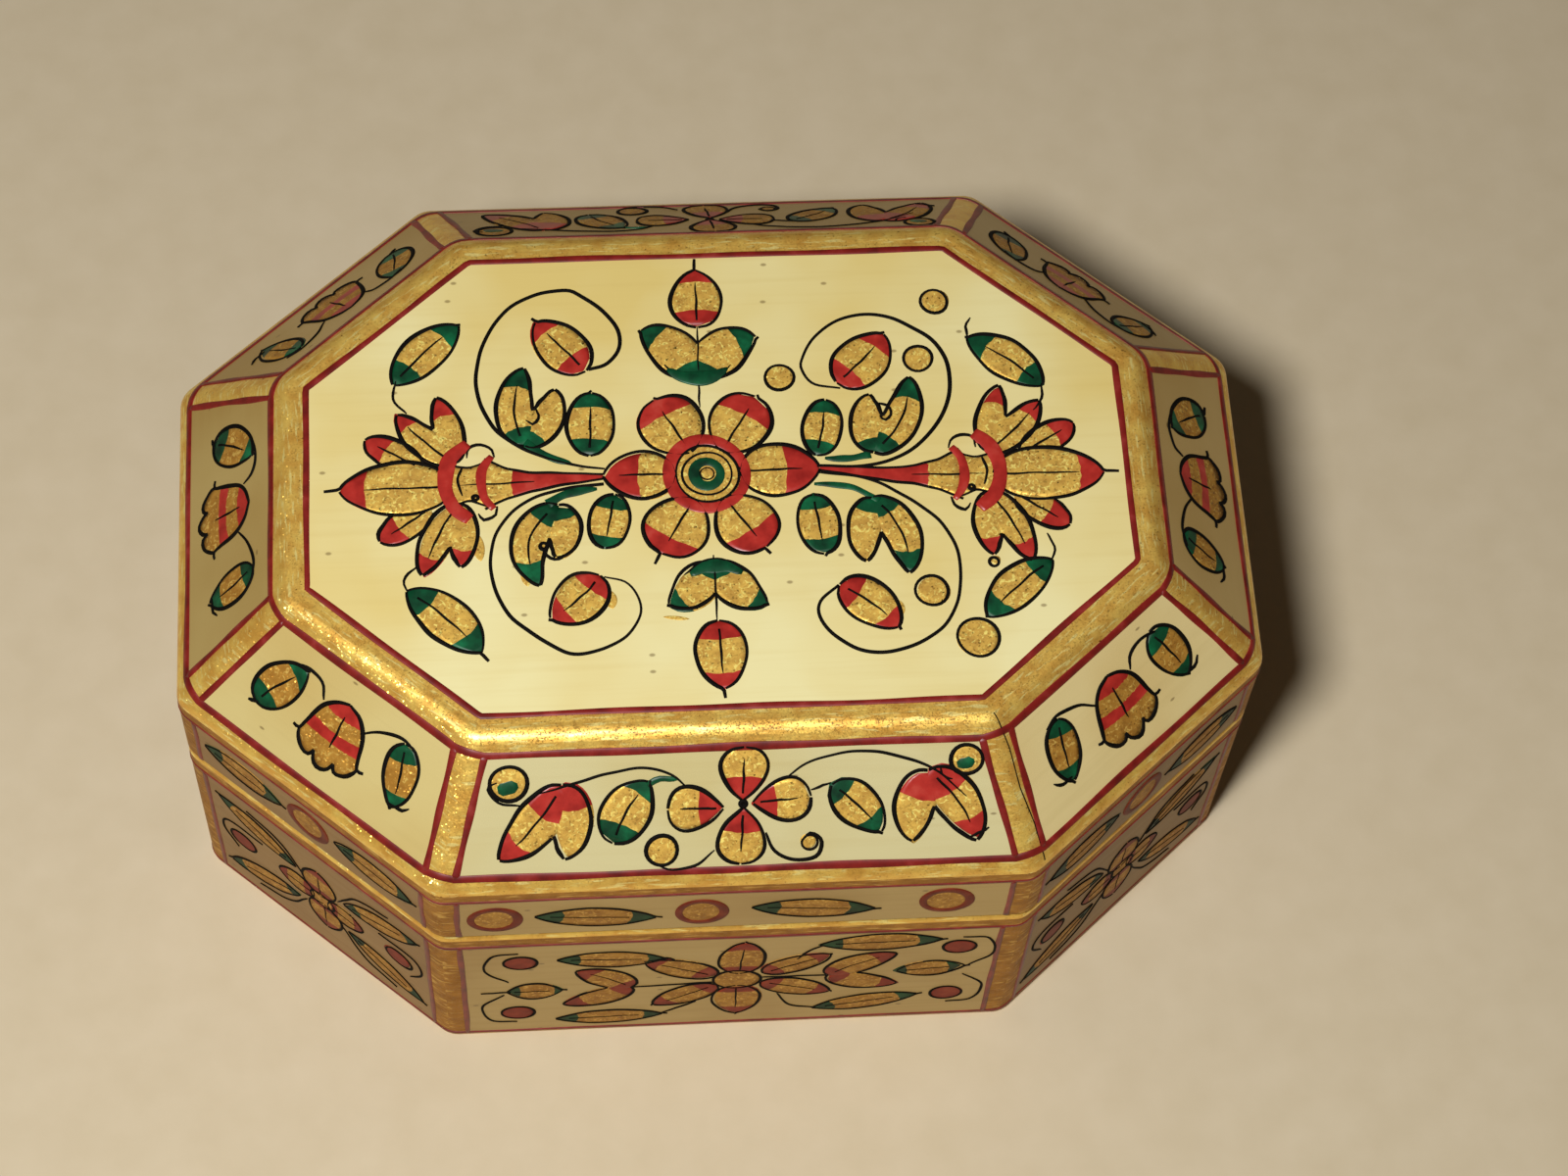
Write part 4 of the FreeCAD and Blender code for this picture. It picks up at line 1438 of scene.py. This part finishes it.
class Skin:
    """The outside of the lid or of the base, for lines that run across its corners."""

    def __init__(self, nodes: Sequence[str]) -> None:
        """Gathers the faces of the wood and the plates that make the outside."""
        points: list[Vector] = []
        faces: list[Face] = []
        for node in nodes:
            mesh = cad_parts[node].data
            start = len(points)
            points += [v.co.copy() for v in mesh.vertices]
            faces += [tuple(start + i for i in p.vertices) for p in mesh.polygons]
        self.tree = BVHTree.FromPolygons(points, faces)

    def settle(self, line: Array, out: Array) -> tuple[Array, Array]:
        """Drops a line onto the outside.

        Args:
            line: Points near the surface in metres.
            out: Roughly outward directions.

        Returns:
            The points on the surface, and smoothed outward directions there.
        """
        start, reach, least_facing = 4 * MM, 10 * MM, 0.3
        placed, normals = [], []
        for point, way in zip(line, out):
            hit, normal, _, _ = self.tree.ray_cast(Vector(point + start * way), Vector(-way), reach)
            placed.append(np.array(hit) if hit is not None else point)
            faces_out = hit is not None and normal.dot(Vector(way)) > least_facing
            normals.append(np.array(normal) if faces_out else way)
        smoothed = np.array(normals)
        for _ in range(2):
            padded = np.vstack([smoothed[:1], smoothed, smoothed[-1:]])
            smoothed = unit(padded[:-2] + 2 * padded[1:-1] + padded[2:])
        return np.array(placed), smoothed


@dataclass
class SeamLines:
    """The dark red lines painted over every seam: loops round the box, and lines beside each hip and post."""

    skin: Skin
    seed: int
    step_mm: float = 0.6
    waver_mm: float = 0.035
    swell: float = 0.08
    waves_mm: tuple[float, ...] = (46.0, 19.0)
    relief: Relief = field(default_factory=Relief)
    rng: np.random.RandomState = field(init=False)

    def __post_init__(self) -> None:
        """Seeds the hand."""
        self.rng = np.random.RandomState(self.seed)

    def line(self, points: Array, outs: Array, width: float, closed: bool = False, paint: Paint = Paint.LINE) -> None:
        """Paints one line.

        Args:
            points: Corners of the line in metres.
            outs: Outward directions at the corners.
            width: The line's width in millimetres.
            closed: Whether it returns to its start.
            paint: What it is drawn with.
        """
        if closed:
            points, outs = np.vstack([points, points[:1]]), np.vstack([outs, outs[:1]])
        both = spaced(np.hstack([points / MM, outs]), self.step_mm)[:-1 if closed else None]
        line, out = both[:, :3] * MM, unit(both[:, 3:])
        side = unit(np.cross(out, np.gradient(line, axis=0)))
        t = np.linspace(0.0, 2 * math.pi, len(line), endpoint=False)
        sway = np.zeros(len(line))
        swell = np.ones(len(line))
        for wave in self.waves_mm:
            turns = max(1, int(round(len(line) * self.step_mm / wave)))
            sway += self.waver_mm * np.sin(turns * t + self.rng.uniform(0, ANY_PHASE))
            swell += self.swell * np.sin((turns + 1) * t + self.rng.uniform(0, ANY_PHASE))
        placed, normals = self.skin.settle(line + side * sway[:, None] * MM, out)
        self.relief.ribbon(placed, normals, width * swell, LINE_CROWN, paint, closed)

    def loop(self, panels: Sequence[Panel], upper: bool, width: float) -> None:
        """Paints a loop through the upper or lower corners of all eight panels.

        Args:
            panels: The panels in order round the box.
            upper: Whether it runs along their upper edges.
            width: The line's width in millimetres.
        """
        pair = [3, 2] if upper else [0, 1]
        points = np.vstack([panel.place(panel.corners[pair]) for panel in panels])
        self.line(points, np.vstack([panel.outs(2) for panel in panels]), width, True)

    def uprights(self, panels: Sequence[Panel], width: float) -> None:
        """Paints the lines along both ends of each panel.

        Args:
            panels: The panels.
            width: The lines' width in millimetres.
        """
        for panel in panels:
            for pair in ([0, 3], [1, 2]):
                self.line(panel.place(panel.corners[pair]), panel.outs(2), width)


class PaintBox:
    """All the finishes that several pieces share, made once."""

    def __init__(self) -> None:
        """Makes the finishes."""
        self.paints = [
            BronzePaint("bronze_powder_ornament").build(),
            BrushedPaint("oil_paint_vermilion", "#8C1C17", "#AE2C24", "#BC4438").build(),
            BrushedPaint("oil_paint_emerald", "#032A18", "#064A2B", "#0D6C41", 0.42, 1.42).build(),
            BrushedPaint("lamp_black_ink", "#060403", "#0B0805", "#160E08", 0.75, 1.2).build(),
            BrushedPaint("oil_paint_oxblood", "#5E0F0B", "#7E1A14", "#92302A", 0.42).build(),
        ]
        # Slopes other than the front take a darker gold, painted shade
        shaded_slope_gold = BronzePaint("bronze_powder_slopes", "#DCB65E", "#BE8C3C", "#A4722E", tilt=0.9)
        self.slope = [shaded_slope_gold.build(), *self.paints[1:]]
        # The walls and the skirts take duller, rougher paint in darker colours; the darker colours are painted shade
        dull_shaded_gold = BronzePaint("bronze_powder_rubbed", "#D8AC5C", "#B88A42", "#9A6C30", metallic=0.3, roughness=0.5,
                                  tilt=0.5)
        self.rubbed = [
            dull_shaded_gold.build(),
            BrushedPaint("oil_paint_vermilion_dull_shaded", "#6E1E12", "#8A2E1A", "#9A4A2E", 0.55, 1.3).build(),
            BrushedPaint("oil_paint_emerald_dull_shaded", "#06240F", "#0D3A1C", "#1C5230", 0.55, 1.3).build(),
            self.paints[Paint.INK.value],
            BrushedPaint("oil_paint_oxblood_dull_shaded", "#5A180C", "#742612", "#8A3E22", 0.55, 1.3).build(),
        ]
        # Borders are brushed along their side, so each side makes its own
        self.gilding = BronzePaint("bronze_powder_borders", "#FFE88E", "#F8CF66", "#E0A94A", 0.16, 2.6, 1.2, 0.5, 0.36,
                                   0.9, 0.55, 0.4, 6.0)
        # Upright gilded faces take a darker, duller gold: painted shade where light grazes them
        self.shaded_upright_gilding = BronzePaint("bronze_powder_handled", "#D6AC5C", "#B27E38", "#96662A", 0.2, 2.4, 1.5, 0.3,
                                        0.5, 0.4, 0.0, 0.5, 6.0)
        self.velvet = SilkVelvet().build()
        self.brass = AgedBrass("brass_rolled_aged").build()
        self.nail_brass = AgedBrass("brass_drawn_nails", bright="#BF9648", tarnish="#5E4420").build()


class Finish(Enum):
    """The finishes of a wall or rail, by material slot."""

    GILDED = 0
    HANDLED = 1
    WOOD = 2


@dataclass
class GiltWoodwork:
    """The walls, rails, floor and lid board: gilded where they show outside, varnished wood elsewhere."""

    box: PaintBox
    skin_depth_mm: float = 1.0
    upright_slope: float = 0.15

    def dress(self) -> None:
        """Gives every wooden node its finishes."""
        top = Panel.of("top_plate")
        for side in SIDES:
            wall, slope = Panel.of("base_plate_" + side), Panel.of("bevel_plate_" + side)
            finishes = [paint.build(side, wall.turn())
                        for paint in (self.box.gilding, self.box.shaded_upright_gilding, VarnishedWood())]
            self.split("base_wall_" + side, [wall], finishes)
            self.split("lid_rail_" + side, [wall, slope, top], finishes)
        board = VarnishedWood().build("boards", 0.0)
        for node in ("base_floor", "lid_board"):
            cover(node, board)
        log.info("woodwork dressed: %d walls and rails, 2 boards", 2 * len(SIDES))

    def split(self, node: str, planes: Sequence[Panel], finishes: Sequence[Material]) -> None:
        """Gilds a node's outside and leaves the rest varnished.

        Args:
            node: The wall or rail.
            planes: The outer planes that it lies under.
            finishes: The materials, in the order of Finish.
        """
        mesh = cover(node, *finishes)
        marks = []
        for polygon in mesh.polygons:
            depths = [np.dot(plane.origin - np.array(polygon.center), plane.out) / MM for plane in planes]
            nearest = planes[int(np.argmin(depths))]
            finish = Finish.WOOD
            if min(depths) < self.skin_depth_mm and np.dot(polygon.normal, nearest.out) > 0.0:
                # Upright faces take the darker gold, painted shade
                finish = Finish.HANDLED if abs(polygon.normal[2]) < self.upright_slope else Finish.GILDED
            marks.append(finish.value)
        mesh.polygons.foreach_set("material_index", marks)
        mesh.update()


@dataclass
class BonePlates:
    """The twenty-five bone plates, each with its pores along its own length."""

    streak: str = "#AE9858"
    pore: str = "#5E4420"
    # The darker bone of the slopes in shade, painted shade
    shaded_slope_tones: tuple[str, str] = ("#BEA064", "#AC8A4A")
    # Slopes take their bone tone from how light falls on them, painted light and shade: these are set side by side, the
    # rest take the darker tones above
    tones_by_light_per_slope: dict[str, tuple[str, str]] = field(default_factory=lambda: {
        "front": ("#CBC08E", "#C0AC6C"), "front_left": ("#CCB97A", "#BEA15C"), "front_right": ("#DCC78C", "#CCAD68"),
        "left": ("#B29A5E", "#A08246"),
    })

    def dress(self) -> None:
        """Gives every plate its bone."""
        for side in SIDES:
            turn = Panel.of("base_plate_" + side).turn()
            tones = self.tones_by_light_per_slope.get(side, self.shaded_slope_tones)
            slope = PolishedBone(*tones, self.streak, self.pore, roughness=0.38)
            cover("bevel_plate_" + side, slope.build(side, turn))
            # Walls and skirts get a darker bone, painted shade where light grazes them; the front's is less dark,
            # nearer the light
            shaded_wall_bone = PolishedBone("#9C7846", "#886436", "#785428", self.pore, roughness=0.46, ior=1.4)
            if side == "front":
                shaded_wall_bone = PolishedBone("#B89A5C", "#A38044", "#8E6C34", self.pore, roughness=0.42, ior=1.45)
            bone = shaded_wall_bone.build("handled_" + side, turn)
            for stem in ("base_plate_", "skirt_plate_"):
                cover(stem + side, bone)
        cover("top_plate", PolishedBone().build("top", 0.0))
        log.info("bone plates dressed: %d", 3 * len(SIDES) + 1)


@dataclass
class Ornament:
    """The painted flowers on all the plates, one piece for each plate."""

    box: PaintBox
    seed: int = 11
    top_seed: int = 99
    skirt_seed: int = 20
    wall_seed: int = 40
    broad_ink_mm: float = 0.5
    skirt_ink_mm: float = 0.34
    wall_ink_mm: float = 0.36
    wander_mm: float = 0.3
    top_middle: Point = (-0.5, 0.0)

    def paint(self) -> None:
        """Paints every plate."""
        top = Brush(Panel.of("top_plate"), self.seed + self.top_seed, self.broad_ink_mm, 1.0)
        self.draw(top, TopFlower().motifs(), self.box.paints, 0.0, self.top_middle)
        for number, side in enumerate(SIDES, self.seed):
            long_side = side in LONG_SIDES
            slope = LongBevelFlower() if long_side else ShortBevelFlower(side == "front_right")
            skirt = LONG_SKIRT if long_side else SHORT_SKIRT
            wall = LongBaseFlower() if long_side else ShortBaseFlower()
            # The front slope keeps the brighter gold; the others take the darker gold, painted shade
            slope_paints = self.box.paints if side == "front" else self.box.slope
            for stem, flower, seed, ink, paints in (
                ("bevel_plate_", slope, 0, self.broad_ink_mm, slope_paints),
                ("skirt_plate_", skirt, self.skirt_seed, self.skirt_ink_mm, self.box.rubbed),
                ("base_plate_", wall, self.wall_seed, self.wall_ink_mm, self.box.rubbed),
            ):
                brush = Brush(Panel.of(stem + side), number + seed, ink, -1.0 if side in TURNED_SIDES else 1.0)
                self.draw(brush, flower.motifs(), paints, 0.0 if side == "front" else self.wander_mm)

    def draw(self, brush: Brush, motifs: Sequence[Motif], paints: Sequence[Material], wander: float,
             middle: Point = (0.0, 0.0)) -> None:
        """Paints one plate.

        Args:
            brush: The brush on its panel.
            motifs: What is painted.
            paints: The materials, in the order of Paint.
            wander: How far each motif may sit from its drawn place, in millimetres.
            middle: Where the design's middle lies on the plate, in millimetres.
        """
        for motif in motifs:
            brush.offset = tuple(np.array(middle) + wander * brush.rng.uniform(-1.0, 1.0, 2))
            motif.draw(brush)
        node = brush.panel.node
        brush.relief.build(node.replace("_plate", "_ornament"), BASE if node.startswith(BASE) else LID, paints)


@dataclass
class PaintedSeams:
    """The red lines of the lid and of the base, and the hairline crack by the front right hip."""

    box: PaintBox
    lid_seed: int = 5
    base_seed: int = 6
    top_edge_mm: float = 0.75
    bevel_upper_mm: float = 0.95
    bevel_lower_mm: float = 0.9
    hip_mm: float = 0.8
    skirt_upper_mm: float = 0.6
    post_mm: float = 0.7
    wall_upper_mm: float = 0.65
    wall_lower_mm: float = 0.6
    crack_mm: float = 0.13
    crack_ends: tuple[Point, Point] = ((-0.8, 2.6), (-0.7, -1.4))
    crack_wander: tuple[float, ...] = (0.0, 0.25, -0.1, 0.2, 0.0)

    def paint(self) -> None:
        """Paints both sets of lines."""
        bevels, skirts, walls = ([Panel.of(stem + side) for side in SIDES]
                                 for stem in ("bevel_plate_", "skirt_plate_", "base_plate_"))
        top = Panel.of("top_plate")
        lid_nodes = [stem + side for side in SIDES for stem in ("lid_rail_", "bevel_plate_", "skirt_plate_")]
        lid = SeamLines(Skin(lid_nodes + ["top_plate"]), self.lid_seed)
        corners = (plan_corners("top_plate") - top.origin[:2]) / MM
        lid.line(top.place(corners), top.outs(len(corners)), self.top_edge_mm, True)
        lid.loop(bevels, True, self.bevel_upper_mm)
        lid.loop(bevels, False, self.bevel_lower_mm)
        lid.uprights(bevels, self.hip_mm)
        lid.loop(skirts, True, self.skirt_upper_mm)
        lid.uprights(skirts, self.post_mm)
        self.crack(lid, bevels[SIDES.index("front_right")])
        lid.relief.build("lid_seam_lines", LID, self.box.paints)
        base_nodes = [stem + side for side in SIDES for stem in ("base_wall_", "base_plate_")]
        base = SeamLines(Skin(base_nodes), self.base_seed)
        base.loop(walls, True, self.wall_upper_mm)
        base.loop(walls, False, self.wall_lower_mm)
        base.uprights(walls, self.post_mm)
        base.relief.build("base_seam_lines", BASE, self.box.paints)

    def crack(self, lines: SeamLines, worn: Panel) -> None:
        """Draws the crack beside a slope's left hip.

        Args:
            lines: The lid's lines.
            worn: The slope.
        """
        first, last = worn.corners[[3, 0]] + np.array(self.crack_ends)
        flat = np.linspace(first, last, len(self.crack_wander))
        flat[:, 0] += self.crack_wander
        lines.line(worn.place(flat), worn.outs(len(flat)), self.crack_mm, paint=Paint.INK)


@dataclass
class VelvetLining:
    """A velvet sheet laid in the box or stretched under the lid: soft edges and a slightly uneven pile."""

    node: str
    name: str
    body: str
    held: str
    rests_on: str
    rings: int = 26
    around: int = 96
    uneven_mm: float = 0.06
    ripple_per_m: float = 260.0
    ripples: int = 5
    soft_edge: float = 0.03
    face_sinks: float = 0.04
    edge_sinks: float = 0.3
    middle_sinks: float = 0.06
    seed: int = 3

    def build(self, velvet: Material) -> None:
        """Makes the sheet in its CAD solid's place.

        Args:
            velvet: Its finish.
        """
        low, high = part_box(self.node)
        corners = plan_corners(self.node)
        following = np.roll(corners, -1, axis=0)
        round_it = float(np.linalg.norm(following - corners, axis=1).sum())
        edge = spaced(np.vstack([corners, corners[:1]]), round_it / self.around)[:-1]
        rest, face = (low[2], high[2]) if self.body == BASE else (high[2], low[2])
        points = self.points(edge, rest, face)
        sheet = make_piece(self.name, self.body, points.tolist(), self.faces(len(edge)), [velvet])
        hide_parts(self.node)
        flat = (float(high[1] - low[1]), float(high[0] - low[0]))
        log.info("%s laid, %.1f by %.1f mm", self.name, flat[0] / MM, flat[1] / MM)

    def points(self, edge: Array, rest: float, face: float) -> Array:
        """Works out the pile's rings, the middle of the face and the foot.

        Args:
            edge: Points round the sheet, in metres.
            rest: The level that it rests on.
            face: The level of its pile.

        Returns:
            The points, rings from the middle outwards first, then the middle, then the foot.
        """
        share = np.arange(1, self.rings + 1)[:, None] / self.rings
        plan = edge * share[..., None]
        drop = np.maximum(0.0, (share - 1 + self.soft_edge) / self.soft_edge) ** 2
        waves = np.random.RandomState(self.seed).uniform(-1, 1, (self.ripples, 4))
        pile = np.mean([much * np.sin(self.ripple_per_m * (plan @ (x, y)) + ANY_PHASE * phase)
                        for much, x, y, phase in waves], axis=0)
        sunk = math.copysign(0.5 * self.uneven_mm * MM, rest - face) * (1 + pile)
        level = face + (rest - face) * (self.face_sinks + self.edge_sinks * drop) + sunk
        middle = [(0.0, 0.0, face + (rest - face) * self.middle_sinks)]
        foot = np.column_stack([edge, np.full(len(edge), rest)])
        return np.vstack([np.concatenate([plan, level[..., None]], axis=2).reshape(-1, 3), middle, foot])

    def faces(self, count: int) -> list[Face]:
        """Joins the points to a closed sheet.

        Args:
            count: How many points each ring has.

        Returns:
            The faces.
        """
        middle, foot = self.rings * count, self.rings * count + 1
        starts = [ring * count for ring in range(self.rings)] + [foot]
        faces: list[Face] = []
        for n in range(count):
            m = (n + 1) % count
            faces.append((middle, n, m))
            faces += [(a + n, b + n, b + m, a + m) for a, b in zip(starts, starts[1:])]
        faces.append(tuple(foot + n for n in reversed(range(count))))
        return faces if self.body == BASE else [face[::-1] for face in faces]


@dataclass
class Hinges:
    """The two butt hinges: leaves, pins and the filed heads of their nails."""

    box: PaintBox
    head_radius_mm: float = 0.95
    head_rise_mm: float = 0.07
    head_profile: tuple[Point, ...] = ((1.0, -0.3), (1.0, 0.25), (0.8, 0.8), (0.4, 1.0))
    head_points: int = 24
    nail_gap_mm: float = 2.0

    def dress(self) -> None:
        """Gives the hinge nodes their brass and adds the nail heads."""
        leaves = ["hinge_%s_leaf_%s" % (body, end) for body in (BASE, LID) for end in ("left", "right")]
        for node in leaves + ["hinge_pins"]:
            cover(node, self.box.brass)
        for body, way in ((BASE, 1.0), (LID, -1.0)):
            node = "hinge_%s_nails" % body
            cover(node, self.box.nail_brass)
            self.heads(body, node, way)
        log.info("hinges dressed")

    def heads(self, body: str, node: str, way: float) -> None:
        """Adds a low filed head over each nail.

        Args:
            body: The body that they ride on.
            node: The nails' node.
            way: One where the heads face up, minus one where they face down.
        """
        low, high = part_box(node)
        level = high[2] if way > 0 else low[2]
        count = self.head_points
        angles = [2 * math.pi * n / count for n in range(count)]
        points: list[Place] = []
        faces: list[Face] = []
        for x in self.middles(node):
            starts = [len(points) + ring * count for ring in range(len(self.head_profile))]
            for share, rise in self.head_profile:
                reach = self.head_radius_mm * MM * share
                points += [(x + reach * math.cos(angle), 0.5 * (low[1] + high[1]) + reach * math.sin(angle),
                            level + way * self.head_rise_mm * MM * rise) for angle in angles]
            for a, b in zip(starts, starts[1:]):
                faces += [(a + n, a + (n + 1) % count, b + (n + 1) % count, b + n) for n in range(count)]
            faces += [tuple(starts[-1] + n for n in range(count)), tuple(starts[0] + n for n in reversed(range(count)))]
        if way < 0:
            faces = [face[::-1] for face in faces]
        make_piece(node + "_heads", body, points, faces, [self.box.nail_brass])

    def middles(self, node: str) -> list[float]:
        """Finds where each nail stands.

        Args:
            node: The nails' node.

        Returns:
            The middle of each nail along X, in metres.
        """
        xs = np.sort([v.co[0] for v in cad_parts[node].data.vertices])
        runs = np.split(xs, np.nonzero(np.diff(xs) > self.nail_gap_mm * MM)[0] + 1)
        return [round(0.5 * float(run[0] + run[-1]), 5) for run in runs]


@dataclass
class Studio:
    """Pale paper, a soft key light left of the camera, a weak fill, and the camera at the photograph's angle."""

    eye_mm: Place = (-20.99, -209.03, 447.82)
    forward: Place = (0.0637, 0.4463, -0.8926)
    right: Place = (0.9974, -0.0597, 0.0413)
    lens_mm: float = 86.75
    sensor_mm: float = 36.0
    near_m: float = 0.01
    floor_m: float = 3.0
    key_place: Place = (-0.105, -0.20, 0.475)
    key_aim: Place = (0.0, 0.0, 0.04)
    key_size_m: float = 0.08
    key_watts: float = 2.5
    fill_colour: str = "#FFE6C4"
    fill_strength: float = 0.045

    def build(self) -> None:
        """Makes the floor, the lights and the camera."""
        self.floor()
        self.lights()
        self.camera()
        bpy.context.scene.view_settings.view_transform = "Standard"
        log.info("studio set")

    def floor(self) -> None:
        """Lays the paper."""
        half = self.floor_m / 2
        mesh = bpy.data.meshes.new("paper")
        mesh.from_pydata([(-half, -half, 0), (half, -half, 0), (half, half, 0), (-half, half, 0)], [], [(0, 1, 2, 3)])
        mesh.materials.append(StudioPaper().build())
        link("paper", mesh)

    def lights(self) -> None:
        """Hangs the key light and sets the fill."""
        lamp = bpy.data.lights.new("key", "AREA")
        lamp.shape = "DISK"
        lamp.size = self.key_size_m
        lamp.energy = self.key_watts
        key = link("key", lamp)
        key.location = self.key_place
        key.rotation_euler = (Vector(self.key_aim) - key.location).to_track_quat("-Z", "Y").to_euler()
        world = bpy.data.worlds.new("fill")
        world.use_nodes = True
        sky = world.node_tree.nodes["Background"]
        sky.inputs["Color"].default_value = linear(self.fill_colour)
        sky.inputs["Strength"].default_value = self.fill_strength
        bpy.context.scene.world = world

    def camera(self) -> None:
        """Sets the camera where the photograph was taken from."""
        ahead = Vector(self.forward).normalized()
        side = Vector(self.right)
        side = (side - ahead * side.dot(ahead)).normalized()
        turn = Matrix((side, side.cross(ahead), -ahead)).transposed().to_4x4()
        lens = bpy.data.cameras.new("camera")
        lens.sensor_fit = "HORIZONTAL"
        lens.sensor_width = self.sensor_mm
        lens.lens = self.lens_mm
        lens.clip_start = self.near_m
        camera = link("camera", lens)
        camera.matrix_world = Matrix.Translation(Vector(self.eye_mm) * MM) @ turn
        bpy.context.scene.camera = camera


def main() -> None:
    """Dresses the box, piece by piece, and sets the studio round it."""
    logging.basicConfig(level=logging.INFO, format="%(message)s")
    box = PaintBox()
    GiltWoodwork(box).dress()
    BonePlates().dress()
    Ornament(box).paint()
    PaintedSeams(box).paint()
    VelvetLining("floor_lining", "floor_velvet", BASE, "laid", "base_floor").build(box.velvet)
    VelvetLining("lid_lining", "lid_velvet", LID, "stretched", "lid_board").build(box.velvet)
    Hinges(box).dress()
    Studio().build()


if __name__ == "__main__":
    main()
